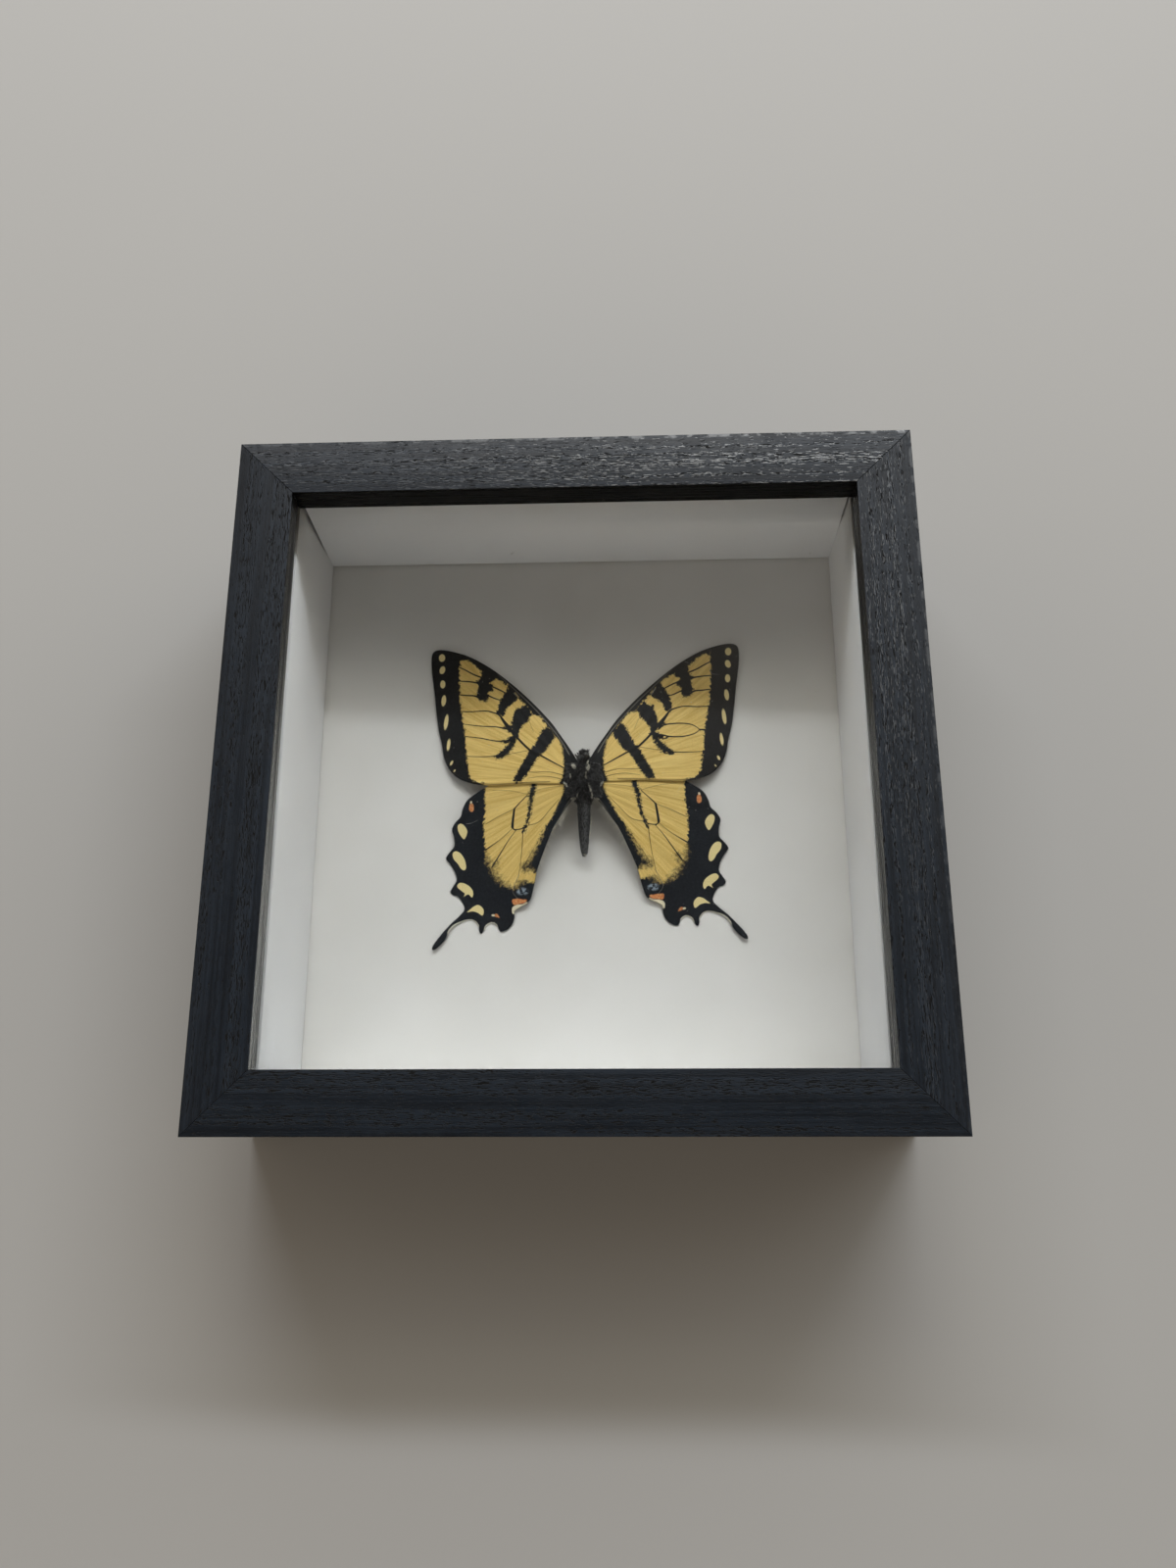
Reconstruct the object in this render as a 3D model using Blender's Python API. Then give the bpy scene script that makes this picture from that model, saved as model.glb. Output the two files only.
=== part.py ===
# A square black shadow box that holds a spread swallowtail butterfly under glass.
# The box lies on its back: +Z runs out through the glass, +Y towards the butterfly's head.
# The origin is the centre of the back. Metres, with most sizes written in millimetres.

import math

import bmesh
import bpy
from mathutils import Matrix, Vector
from mathutils.geometry import delaunay_2d_cdt

MM = 0.001
GAP = 0.3 * MM  # left between pieces that touch

# The frame: four mitred rails with a lip that holds the glass in
OUTER_WIDTH = 168 * MM
DEPTH = 50 * MM
FACE_WIDTH = 13.6 * MM
LIP_DEPTH = 8.6 * MM
RAIL_WALL = 9.25 * MM
FRONT_EDGE_RADIUS = 0.6 * MM
LIP_EDGE_RADIUS = 0.3 * MM
EDGE_STEPS = 3

# The stack behind the lip, from front to back
GLASS_THICKNESS = 2.0 * MM
BOARD_FROM_FRONT = 40.8 * MM
BOARD_THICKNESS = 3.0 * MM
PANEL_THICKNESS = 3.0 * MM
SPACER_THICKNESS = 5.0 * MM

# The bent steel tabs that keep the back panel in
TAB_METAL = 0.6 * MM
TAB_WIDTH = 8.0 * MM
TAB_LEG = 2.0 * MM
TAB_REACH = 7.0 * MM
TAB_SPREAD = 36 * MM

HALF_OUTER = OUTER_WIDTH / 2
STACK_WIDTH = OUTER_WIDTH - 2 * (RAIL_WALL + GAP)
GLASS_TOP = DEPTH - LIP_DEPTH - GAP
GLASS_BACK = GLASS_TOP - GLASS_THICKNESS
BOARD_TOP = DEPTH - BOARD_FROM_FRONT
BOARD_BACK = BOARD_TOP - BOARD_THICKNESS
PANEL_TOP = BOARD_BACK - GAP
PANEL_BACK = PANEL_TOP - PANEL_THICKNESS

# The butterfly. Its outlines are in millimetres from WING_ROOT, the middle of the thorax,
# for the wings on its right-hand side of the picture. The left ones mirror them.
WING_ROOT = Vector((1.5 * MM, 3.8 * MM))
WING_THICKNESS = 0.3 * MM
GRID_STEP = 4.5
GRID_MARGIN = 1.6

# Forewing: front edge from the neck to the tip, outer edge, then the straight hind edge
FOREWING_OUTLINE = (
    (3.2, 5.6), (5.4, 12.0), (9.0, 17.4), (14.8, 24.3), (20.5, 30.0), (26.4, 34.8),
    (32.3, 38.0), (38.2, 39.6), (41.1, 39.3), (41.9, 37.4), (41.7, 33.3), (41.0, 28.5),
    (40.3, 23.0), (39.4, 17.0), (38.3, 12.5), (37.6, 8.9), (36.3, 5.8), (33.9, 3.1),
    (31.0, 1.6), (27.5, 0.5), (23.5, 0.1), (15.5, 0.0), (9.0, -0.4), (4.6, -0.6),
)
# Hindwing: front edge under the forewing, three scallops, the tail, a tooth, a lobe,
# the notch below the eyespot, and the inner edge along the abdomen
HINDWING_OUTLINE = (
    (4.4, 0.8), (9.0, 2.6), (16.0, 3.4), (21.5, 2.8), (25.3, 0.6), (27.8, -0.6),
    (30.9, -2.6), (32.3, -5.0), (32.8, -6.9), (34.3, -8.4), (35.2, -10.2), (34.7, -12.2),
    (34.6, -14.6), (35.8, -16.2), (36.8, -17.8), (35.7, -19.4), (34.5, -21.4), (34.0, -23.6),
    (34.8, -25.1), (35.6, -26.6), (34.9, -27.6), (33.8, -27.9), (32.6, -29.4), (32.0, -31.4),
    (33.4, -33.2), (35.6, -35.2), (38.0, -37.9), (39.9, -40.4), (40.2, -41.6), (39.4, -41.5),
    (37.8, -40.1), (36.7, -38.6), (36.2, -37.0), (34.9, -35.5), (33.1, -34.6), (30.9, -34.0),
    (29.3, -34.4), (28.3, -35.7), (28.2, -37.0), (27.8, -37.8), (27.2, -37.3), (26.5, -35.7),
    (24.9, -35.0), (23.6, -35.7), (23.1, -37.0), (22.5, -37.5), (21.0, -37.0), (19.6, -35.5),
    (19.1, -33.8), (19.0, -32.4), (17.2, -31.3), (15.8, -30.7), (14.8, -29.5), (14.1, -27.3),
    (13.6, -25.3), (13.1, -23.0), (12.1, -20.3), (10.5, -16.5), (8.6, -12.4), (6.7, -9.6),
    (4.6, -6.6), (3.2, -4.9), (3.4, -3.0),
)
FOREWING_CURVE_STEPS = 3
HINDWING_CURVE_STEPS = 2
# How far each wing's mean plane stands off the board: at its outer edge, and more at the root
FOREWING_EDGE_HEIGHT, FOREWING_RISE, FOREWING_REACH = 0.65, 6.9, 46.0
HINDWING_EDGE_HEIGHT, HINDWING_RISE, HINDWING_REACH = 0.45, 6.2, 44.0
TAIL_CURL, TAIL_START = 0.06, 46.0  # the tails lift a little from this far out
# The two sides aren't pinned quite alike
FOREWING_SHIFT = 0.3
HINDWING_TURN = math.radians(1.65)

# Body sections from head to tail: distance along the body, half width, half height,
# and the height of the middle above the board
BODY_SECTIONS = (
    (8.1, 0.7, 0.7, 6.9), (7.6, 1.3, 1.3, 6.9), (6.8, 1.75, 1.7, 6.9), (6.0, 1.85, 1.8, 6.8),
    (5.2, 1.6, 1.6, 6.7), (4.6, 1.35, 1.45, 6.6), (3.9, 1.7, 1.9, 6.6), (2.9, 2.4, 2.5, 6.6),
    (1.4, 2.9, 2.9, 6.6), (-0.4, 3.0, 3.0, 6.5), (-2.2, 2.8, 2.8, 6.4), (-3.8, 2.4, 2.4, 6.2),
    (-5.0, 1.9, 2.0, 5.9), (-6.0, 1.75, 1.85, 5.6), (-7.6, 1.8, 1.9, 5.2),
    (-9.8, 1.75, 1.8, 4.7), (-12.2, 1.55, 1.6, 4.1), (-14.4, 1.35, 1.4, 3.6),
    (-16.4, 1.1, 1.15, 3.1), (-17.8, 0.85, 0.9, 2.8), (-18.7, 0.45, 0.5, 2.6),
)
BODY_SEGMENTS = 20
BODY_NOSE, BODY_TAIL = 8.4, -19.0

PAD_RADIUS = 2.2 * MM
PAD_HEIGHT = 2.9 * MM
PAD_SEGMENTS = 24
PAD_PLACE = Vector((WING_ROOT.x, WING_ROOT.y - 0.4 * MM))

# Colour, roughness and metallic value of each material
MATERIALS = {
    "black_stained_wood": ((0.018, 0.019, 0.021), 0.45, 0.0),
    "clear_glass": ((0.9, 0.95, 0.93), 0.03, 0.0),
    "white_card": ((0.78, 0.77, 0.74), 0.85, 0.0),
    "brown_hardboard": ((0.22, 0.13, 0.07), 0.7, 0.0),
    "zinc_steel": ((0.55, 0.56, 0.58), 0.35, 1.0),
    "yellow_wing": ((0.62, 0.43, 0.10), 0.7, 0.0),
    "black_fur": ((0.015, 0.014, 0.014), 0.9, 0.0),
    "cork": ((0.42, 0.27, 0.15), 0.9, 0.0),
}


def clear_scene():
    for old in list(bpy.data.objects):
        bpy.data.objects.remove(old, do_unlink=True)


def material(name):
    found = bpy.data.materials.get(name)
    if found:
        return found
    colour, roughness, metallic = MATERIALS[name]
    made = bpy.data.materials.new(name)
    made.use_nodes = True
    shader = made.node_tree.nodes["Principled BSDF"]
    shader.inputs["Base Color"].default_value = (*colour, 1)
    shader.inputs["Roughness"].default_value = roughness
    shader.inputs["Metallic"].default_value = metallic
    return made


def place(name, mesh, surface, matrix=None, parent=None):
    made = bpy.data.objects.new(name, mesh)
    if not mesh.materials:
        mesh.materials.append(material(surface))
    bpy.context.collection.objects.link(made)
    made.matrix_basis = matrix or Matrix.Identity(4)
    made.parent = parent
    return made


def finish_mesh(name, bm):
    bmesh.ops.recalc_face_normals(bm, faces=bm.faces[:])
    mesh = bpy.data.meshes.new(name)
    bm.to_mesh(mesh)
    bm.free()
    return mesh


def box_mesh(name, size_x, size_y, size_z):
    """A box that stands on its own origin."""
    bm = bmesh.new()
    bmesh.ops.create_cube(bm, size=1.0)
    bmesh.ops.translate(bm, verts=bm.verts[:], vec=(0, 0, 0.5))
    bmesh.ops.scale(bm, verts=bm.verts[:], vec=(size_x, size_y, size_z))
    return finish_mesh(name, bm)


def rounded_corner(centre, radius, start, end):
    """Points of an arc from start to end, both in degrees."""
    points = []
    for step in range(EDGE_STEPS + 1):
        angle = math.radians(start + (end - start) * step / EDGE_STEPS)
        points.append(centre + radius * Vector((math.cos(angle), math.sin(angle))))
    return points


def rail_profile():
    """The rail's section: x from the outside of the frame inwards, y up to the front face."""
    front, lip = FRONT_EDGE_RADIUS, LIP_EDGE_RADIUS
    return [
        Vector((0, 0)),
        Vector((RAIL_WALL, 0)),
        Vector((RAIL_WALL, DEPTH - LIP_DEPTH)),
        Vector((FACE_WIDTH, DEPTH - LIP_DEPTH)),
        *rounded_corner(Vector((FACE_WIDTH - lip, DEPTH - lip)), lip, 0, 90),
        *rounded_corner(Vector((front, DEPTH - front)), front, 90, 180),
    ]


def rail_mesh():
    """The rail at the bottom of the picture, mitred at both ends."""
    mitre_gap = GAP / 2 * math.sqrt(2)
    bm = bmesh.new()
    ends = []
    for side in (-1, 1):
        ring = []
        for point in rail_profile():
            reach = HALF_OUTER - point.x - mitre_gap
            ring.append(bm.verts.new((side * reach, point.x - HALF_OUTER, point.y)))
        ends.append(ring)
    count = len(ends[0])
    for i in range(count):
        after = (i + 1) % count
        bm.faces.new((ends[0][i], ends[0][after], ends[1][after], ends[1][i]))
    bm.faces.new(ends[0])
    bm.faces.new(ends[1])
    return finish_mesh("frame_rail", bm)


def add_frame(parent):
    mesh = rail_mesh()
    for turn, side in enumerate(("bottom", "right", "top", "left")):
        matrix = Matrix.Rotation(turn * math.pi / 2, 4, "Z")
        place("frame_rail_" + side, mesh, "black_stained_wood", matrix, parent)


def add_stack(parent):
    """The glass, the spacers that hold it off the board, the board and the back panel."""
    glass = box_mesh("glass_pane", STACK_WIDTH, STACK_WIDTH, GLASS_THICKNESS)
    place("glass_pane", glass, "clear_glass", Matrix.Translation((0, 0, GLASS_BACK)), parent)
    board = box_mesh("mount_board", STACK_WIDTH, STACK_WIDTH, BOARD_THICKNESS)
    place("mount_board", board, "white_card", Matrix.Translation((0, 0, BOARD_BACK)), parent)
    panel = box_mesh("back_panel", STACK_WIDTH, STACK_WIDTH, PANEL_THICKNESS)
    place("back_panel", panel, "brown_hardboard", Matrix.Translation((0, 0, PANEL_BACK)), parent)

    height = GLASS_BACK - BOARD_TOP - 2 * GAP
    offset = (STACK_WIDTH - SPACER_THICKNESS) / 2
    long_strip = box_mesh("spacer_long", SPACER_THICKNESS, STACK_WIDTH, height)
    short_length = STACK_WIDTH - 2 * (SPACER_THICKNESS + GAP)
    short_strip = box_mesh("spacer_short", short_length, SPACER_THICKNESS, height)
    for name, mesh, x, y in (
        ("left", long_strip, -offset, 0),
        ("right", long_strip, offset, 0),
        ("top", short_strip, 0, offset),
        ("bottom", short_strip, 0, -offset),
    ):
        matrix = Matrix.Translation((x, y, BOARD_TOP + GAP))
        place("spacer_" + name, mesh, "white_card", matrix, parent)


def tab_mesh():
    """An angle of thin steel: one leg back along the rail, one out over the back panel."""
    outline = (
        (0, 0), (TAB_REACH, 0), (TAB_REACH, -TAB_METAL), (TAB_METAL, -TAB_METAL),
        (TAB_METAL, -TAB_LEG), (0, -TAB_LEG),
    )
    bm = bmesh.new()
    verts = [bm.verts.new((-TAB_WIDTH / 2, x, z)) for x, z in outline]
    end = bm.faces.new(verts)
    made = bmesh.ops.extrude_face_region(bm, geom=[end])["geom"]
    moved = [v for v in made if isinstance(v, bmesh.types.BMVert)]
    bmesh.ops.translate(bm, verts=moved, vec=(TAB_WIDTH, 0, 0))
    return finish_mesh("retaining_tab", bm)


def add_tabs(parent):
    mesh = tab_mesh()
    wall = HALF_OUTER - RAIL_WALL - GAP
    for turn, side in enumerate(("bottom", "right", "top", "left")):
        for number, along in enumerate((-TAB_SPREAD, TAB_SPREAD), 1):
            matrix = Matrix.Rotation(turn * math.pi / 2, 4, "Z") @ Matrix.Translation(
                (along, -wall, PANEL_BACK - GAP)
            )
            place(f"tab_{side}_{number}", mesh, "zinc_steel", matrix, parent)


def smooth_loop(points, steps):
    """A closed Catmull-Rom curve through the points."""
    loop = [Vector(p) for p in points]
    made = []
    for i in range(len(loop)):
        a, b, c, d = (loop[(i + k) % len(loop)] for k in (-1, 0, 1, 2))
        for step in range(steps):
            t = step / steps
            made.append(
                0.5 * (2 * b + (c - a) * t + (2 * a - 5 * b + 4 * c - d) * t * t
                       + (3 * b - a - 3 * c + d) * t ** 3)
            )
    return made


def distance_to_segment(point, a, b):
    along = b - a
    share = max(0, min(1, (point - a).dot(along) / along.length_squared))
    return (point - a - along * share).length


def inside(point, loop):
    """Whether the point is in the outline, at least GRID_MARGIN from its edge."""
    crossings = 0
    for a, b in zip(loop, loop[1:] + loop[:1]):
        if distance_to_segment(point, a, b) < GRID_MARGIN:
            return False
        if (a.y > point.y) != (b.y > point.y):
            cut = a.x + (point.y - a.y) / (b.y - a.y) * (b.x - a.x)
            crossings += cut > point.x
    return crossings % 2 == 1


def grid_points(loop):
    columns = range(int(max(p.x for p in loop) / GRID_STEP) + 1)
    low = int(min(p.y for p in loop) / GRID_STEP) - 1
    high = int(max(p.y for p in loop) / GRID_STEP) + 1
    found = []
    for column in columns:
        for row in range(low, high + 1):
            shift = 0.5 * (column % 2)
            point = Vector((column * GRID_STEP, (row + shift) * GRID_STEP))
            if inside(point, loop):
                found.append(point)
    return found


def wing_height(point, edge, rise, reach):
    """Height of the wing's mean plane above the board, in millimetres."""
    distance = point.length
    share = min(1.0, distance / reach)
    curl = TAIL_CURL * max(0.0, distance - TAIL_START)
    return edge + rise * (1 - share * share * (3 - 2 * share)) + curl


def wing_mesh(name, outline, steps, side, turn, shift, heights):
    """A thin curved sheet inside the outline. side is 1 for the right wing, -1 for the left."""
    loop = smooth_loop(outline, steps)
    points = loop + grid_points(loop)
    edges = [(i, (i + 1) % len(loop)) for i in range(len(loop))]
    flat, _, faces, *_ = delaunay_2d_cdt(points, edges, [list(range(len(loop)))], 1, 1e-6)
    cos, sin = math.cos(turn), math.sin(turn)
    bm = bmesh.new()
    verts = []
    for p in flat:
        x, y = p.x * cos - p.y * sin, p.x * sin + p.y * cos + shift
        z = wing_height(p, *heights) * MM
        verts.append(bm.verts.new((side * x * MM + WING_ROOT.x, y * MM + WING_ROOT.y,
                                   BOARD_TOP + z - WING_THICKNESS / 2)))
    for face in faces:
        bm.faces.new([verts[i] for i in face])
    made = bmesh.ops.extrude_face_region(bm, geom=bm.faces[:])["geom"]
    moved = [v for v in made if isinstance(v, bmesh.types.BMVert)]
    bmesh.ops.translate(bm, verts=moved, vec=(0, 0, WING_THICKNESS))
    return finish_mesh(name, bm)


def add_wings(parent):
    forewing = (FOREWING_EDGE_HEIGHT, FOREWING_RISE, FOREWING_REACH)
    hindwing = (HINDWING_EDGE_HEIGHT, HINDWING_RISE, HINDWING_REACH)
    for word, side in (("left", -1), ("right", 1)):
        name = "forewing_" + word
        mesh = wing_mesh(name, FOREWING_OUTLINE, FOREWING_CURVE_STEPS, side, 0.0,
                         side * FOREWING_SHIFT, forewing)
        place(name, mesh, "yellow_wing", parent=parent)
        name = "hindwing_" + word
        mesh = wing_mesh(name, HINDWING_OUTLINE, HINDWING_CURVE_STEPS, side,
                         side * HINDWING_TURN, 0.0, hindwing)
        place(name, mesh, "yellow_wing", parent=parent)


def body_mesh():
    """Head, thorax and abdomen as one skin over oval sections."""
    bm = bmesh.new()

    def vert(along, across, height):
        return bm.verts.new((WING_ROOT.x + across * MM, WING_ROOT.y + along * MM,
                             BOARD_TOP + height * MM))

    rings = []
    for along, half_width, half_height, middle in BODY_SECTIONS:
        ring = []
        for i in range(BODY_SEGMENTS):
            angle = 2 * math.pi * i / BODY_SEGMENTS
            ring.append(vert(along, half_width * math.cos(angle),
                             middle + half_height * math.sin(angle)))
        rings.append(ring)
    nose = vert(BODY_NOSE, 0, BODY_SECTIONS[0][3])
    tail = vert(BODY_TAIL, 0, BODY_SECTIONS[-1][3])
    for i in range(BODY_SEGMENTS):
        after = (i + 1) % BODY_SEGMENTS
        bm.faces.new((nose, rings[0][i], rings[0][after]))
        bm.faces.new((tail, rings[-1][after], rings[-1][i]))
        for ring, following in zip(rings, rings[1:]):
            bm.faces.new((ring[i], following[i], following[after], ring[after]))
    mesh = finish_mesh("butterfly_body", bm)
    mesh.shade_smooth()
    return mesh


def pad_mesh():
    """The small cork disc between the thorax and the board."""
    bm = bmesh.new()
    bmesh.ops.create_cone(bm, cap_ends=True, segments=PAD_SEGMENTS, radius1=PAD_RADIUS,
                          radius2=PAD_RADIUS, depth=PAD_HEIGHT)
    mesh = finish_mesh("mounting_pad", bm)
    mesh.shade_smooth()
    mesh.set_sharp_from_angle(angle=math.radians(40))
    return mesh


def add_butterfly(parent):
    add_wings(parent)
    place("butterfly_body", body_mesh(), "black_fur", parent=parent)
    middle = (PAD_PLACE.x, PAD_PLACE.y, BOARD_TOP + GAP + PAD_HEIGHT / 2)
    place("mounting_pad", pad_mesh(), "cork", Matrix.Translation(middle), parent)


def main():
    clear_scene()
    root = bpy.data.objects.new("framed_butterfly", None)
    bpy.context.collection.objects.link(root)
    add_frame(root)
    add_stack(root)
    add_tabs(root)
    add_butterfly(root)


main()
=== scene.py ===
import math

import bmesh
import bpy
import numpy as np
from mathutils import Matrix, Vector


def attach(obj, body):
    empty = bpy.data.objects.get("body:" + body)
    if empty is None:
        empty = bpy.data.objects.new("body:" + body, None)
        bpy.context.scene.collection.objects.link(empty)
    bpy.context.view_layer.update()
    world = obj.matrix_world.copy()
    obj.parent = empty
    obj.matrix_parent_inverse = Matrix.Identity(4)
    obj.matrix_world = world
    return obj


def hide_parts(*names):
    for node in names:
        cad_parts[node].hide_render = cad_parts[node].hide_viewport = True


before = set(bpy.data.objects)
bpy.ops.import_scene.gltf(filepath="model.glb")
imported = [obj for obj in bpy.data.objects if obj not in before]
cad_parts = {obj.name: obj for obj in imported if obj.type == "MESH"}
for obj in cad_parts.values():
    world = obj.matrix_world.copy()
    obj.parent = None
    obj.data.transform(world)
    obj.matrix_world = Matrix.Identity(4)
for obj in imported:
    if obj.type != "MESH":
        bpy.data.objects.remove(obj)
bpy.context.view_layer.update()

mm = 0.001
boardTop = 9.2  # millimetres above the frame's back, as all heights below are
wingRoot = (1.5, 3.8)  # middle of the thorax


# Small helpers for shader nodes

def plug(tree, socket, value):
    if isinstance(value, bpy.types.NodeSocket):
        tree.links.new(value, socket)
    elif socket.type == "RGBA":
        socket.default_value = (*value, 1.0)
    else:
        socket.default_value = value


def addNode(tree, kind, values=None, **settings):
    node = tree.nodes.new("ShaderNode" + kind)
    for name, value in settings.items():
        setattr(node, name, value)
    for socket, value in (values or {}).items():
        plug(tree, node.inputs[socket], value)
    return node


def calc(tree, operation, first, second=0.0):
    return addNode(tree, "Math", {0: first, 1: second}, operation=operation).outputs[0]


def plus(tree, first, second):
    return calc(tree, "ADD", first, second)


def minus(tree, first, second):
    return calc(tree, "SUBTRACT", first, second)


def times(tree, first, second):
    return calc(tree, "MULTIPLY", first, second)


def fade(tree, value, low, high, start=0.0, end=1.0):
    values = {"Value": value, "From Min": low, "From Max": high, "To Min": start, "To Max": end}
    node = addNode(tree, "MapRange", values, interpolation_type="SMOOTHSTEP")
    return node.outputs["Result"]


def mixColour(tree, mask, first, second):
    return addNode(tree, "Mix", {0: mask, 6: first, 7: second}, data_type="RGBA").outputs[2]


def noise(tree, vector, scale, detail=2.0, roughness=0.5):
    values = {"Vector": vector, "Scale": scale, "Detail": detail, "Roughness": roughness}
    return addNode(tree, "TexNoise", values).outputs["Fac"]


def cells(tree, vector, scale, output):
    return addNode(tree, "TexVoronoi", {"Vector": vector, "Scale": scale}).outputs[output]


def stretched(tree, vector, scale, turn=0.0, shift=(0, 0, 0)):
    values = {"Vector": vector, "Scale": scale, "Rotation": (0, 0, turn), "Location": shift}
    return addNode(tree, "Mapping", values).outputs["Vector"]


def objectCoordinates(tree):
    return addNode(tree, "TexCoord").outputs["Object"]


def attribute(tree, name, output="Fac"):
    return addNode(tree, "Attribute", attribute_name=name).outputs[output]


def newGroup(name, inputs, outputs):
    tree = bpy.data.node_groups.new(name, "ShaderNodeTree")
    for label, kind, value in inputs:
        socket = tree.interface.new_socket(label, in_out="INPUT", socket_type="NodeSocket" + kind)
        if value is not None:
            socket.default_value = value
    for label in outputs:
        tree.interface.new_socket(label, in_out="OUTPUT", socket_type="NodeSocketFloat")
    given = tree.nodes.new("NodeGroupInput").outputs
    result = tree.nodes.new("NodeGroupOutput").inputs
    return tree, given, result


def useGroup(tree, group, **values):
    node = tree.nodes.new("ShaderNodeGroup")
    node.node_tree = group
    for label, value in values.items():
        plug(tree, node.inputs[label], value)
    return node.outputs


def newMaterial(name, gloss=0.5):
    made = bpy.data.materials.new(name)
    made.use_nodes = True
    shader = made.node_tree.nodes["Principled BSDF"]
    shader.inputs["Specular IOR Level"].default_value = gloss
    return made, made.node_tree, shader


def surface(tree, shader, base, roughness, normal=None):
    plug(tree, shader.inputs["Base Color"], base)
    plug(tree, shader.inputs["Roughness"], roughness)
    if normal:
        plug(tree, shader.inputs["Normal"], normal)


def bump(tree, height, strength, distance):
    values = {"Height": height, "Strength": strength, "Distance": distance}
    return addNode(tree, "Bump", values).outputs["Normal"]


# Groups that several materials share

def makeWoodGrain():  # grain runs along X of the vector it is given
    tree, given, result = newGroup(
        "woodGrain", [("Vector", "Vector", None), ("Pores", "Float", 0.5)],
        ["Tone", "Pore", "Ridge", "Height"])
    wander = minus(tree, noise(tree, given["Vector"], 480.0, 1.0), 0.5)
    sideways = times(tree, wander, 0.0006)
    shift = addNode(tree, "CombineXYZ", {1: sideways, 2: sideways}).outputs[0]
    bent = addNode(tree, "VectorMath", {0: given["Vector"], 1: shift}, operation="ADD").outputs[0]
    lines = noise(tree, stretched(tree, bent, (22, 1300, 1300)), 1.0, 3.0, 0.6)
    bands = noise(tree, stretched(tree, bent, (6, 420, 420)), 1.0, 1.0)
    crowding = fade(tree, bands, 0.42, 0.60, -0.07, 0.05)  # pores gather in rows
    edge = minus(tree, 0.86, times(tree, given["Pores"], 0.5))
    poreSize = (400, 4400, 4400)
    dashes = noise(tree, stretched(tree, bent, poreSize), 1.0)
    pore = fade(tree, minus(tree, plus(tree, dashes, crowding), edge), 0.0, 0.04)
    beside = noise(tree, stretched(tree, bent, poreSize, shift=(0, 0.55, 0.55)), 1.0)
    ridge = fade(tree, minus(tree, plus(tree, beside, crowding), edge), 0.014, 0.036)
    ridge = times(tree, ridge, minus(tree, 1.0, pore))  # the edge beside a pore, where a glint is painted pale and the gloss rises
    tone = plus(tree, times(tree, lines, 0.6), times(tree, bands, 0.4))
    height = plus(tree, times(tree, lines, 0.15), times(tree, pore, 0.5))
    height = minus(tree, 0.0, plus(tree, height, times(tree, dashes, 0.9)))
    for label, value in (("Tone", tone), ("Pore", pore), ("Ridge", ridge), ("Height", height)):
        plug(tree, result[label], value)
    return tree


def makePaperGrain():  # short fibres and a faint cloudiness
    tree, given, result = newGroup(
        "paperGrain", [("Vector", "Vector", None), ("Fibre", "Float", 1.0)], ["Tone", "Height"])
    fibres = noise(tree, stretched(tree, given["Vector"], (2600, 5200, 3900)), 1.0, 3.0, 0.6)
    cloud = noise(tree, given["Vector"], 55.0, 3.0)
    tone = plus(tree, times(tree, fibres, 0.35), times(tree, cloud, 0.65))
    plug(tree, result["Tone"], tone)
    plug(tree, result["Height"], times(tree, fibres, given["Fibre"]))
    return tree


def makeScaleEdge():  # a marking's soft, powdery edge; distances are in millimetres
    tree, given, result = newGroup(
        "scaleEdge", [("Distance", "Float", 1.0), ("Softness", "Float", 0.1), ("Jitter", "Float", 0.2)],
        ["Mask"])
    flow = attribute(tree, "flow", "Vector")
    coarse = noise(tree, stretched(tree, flow, (1.3, 1.1, 1)), 1.0, 3.0, 0.65)  # teeth along the rows
    fine = noise(tree, objectCoordinates(tree), 6500.0, 2.0, 0.6)
    both = plus(tree, times(tree, coarse, 0.65), times(tree, fine, 0.35))
    swing = times(tree, minus(tree, both, 0.5), given["Jitter"])
    moved = plus(tree, given["Distance"], times(tree, swing, 2.0))
    inner = times(tree, given["Softness"], -1.0)
    plug(tree, result["Mask"], fade(tree, moved, inner, given["Softness"], 1.0, 0.0))
    return tree


woodGrain = makeWoodGrain()
paperGrain = makePaperGrain()
scaleEdge = makeScaleEdge()
print("shader groups made")


# Meshes

def putPiece(name, mesh, materials, nodes=()):
    piece = bpy.data.objects.new(name, mesh)
    bpy.context.scene.collection.objects.link(piece)
    for material in materials:
        mesh.materials.append(material)
    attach(piece, "root")
    if nodes:
        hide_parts(*nodes)
    return piece


def toMesh(name, bm, sharpAngle=None):
    mesh = bpy.data.meshes.new(name)
    bm.to_mesh(mesh)
    bm.free()
    mesh.shade_smooth()
    if sharpAngle:
        mesh.set_sharp_from_angle(angle=math.radians(sharpAngle))
    return mesh


def turnAndScale(bm, quarter):  # a side made in millimetres as the bottom one, set in its place
    turn = Matrix.Rotation(quarter * math.pi / 2, 3, "Z")
    bmesh.ops.rotate(bm, verts=bm.verts[:], cent=(0, 0, 0), matrix=turn)
    bmesh.ops.scale(bm, verts=bm.verts[:], vec=(mm, mm, mm))


def rounded(bm, edges, offset, segments):
    bmesh.ops.bevel(bm, geom=edges, offset=offset, offset_type="OFFSET", segments=segments,
                    profile=0.5, affect="EDGES", material=-1, clamp_overlap=True)


def dress(node, material):  # a solid kept as it is, with a better surface
    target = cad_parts[node]
    target.data.materials.clear()
    target.data.materials.append(material)


def unit(vectors):
    return vectors / np.linalg.norm(vectors, axis=-1, keepdims=True)


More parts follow.
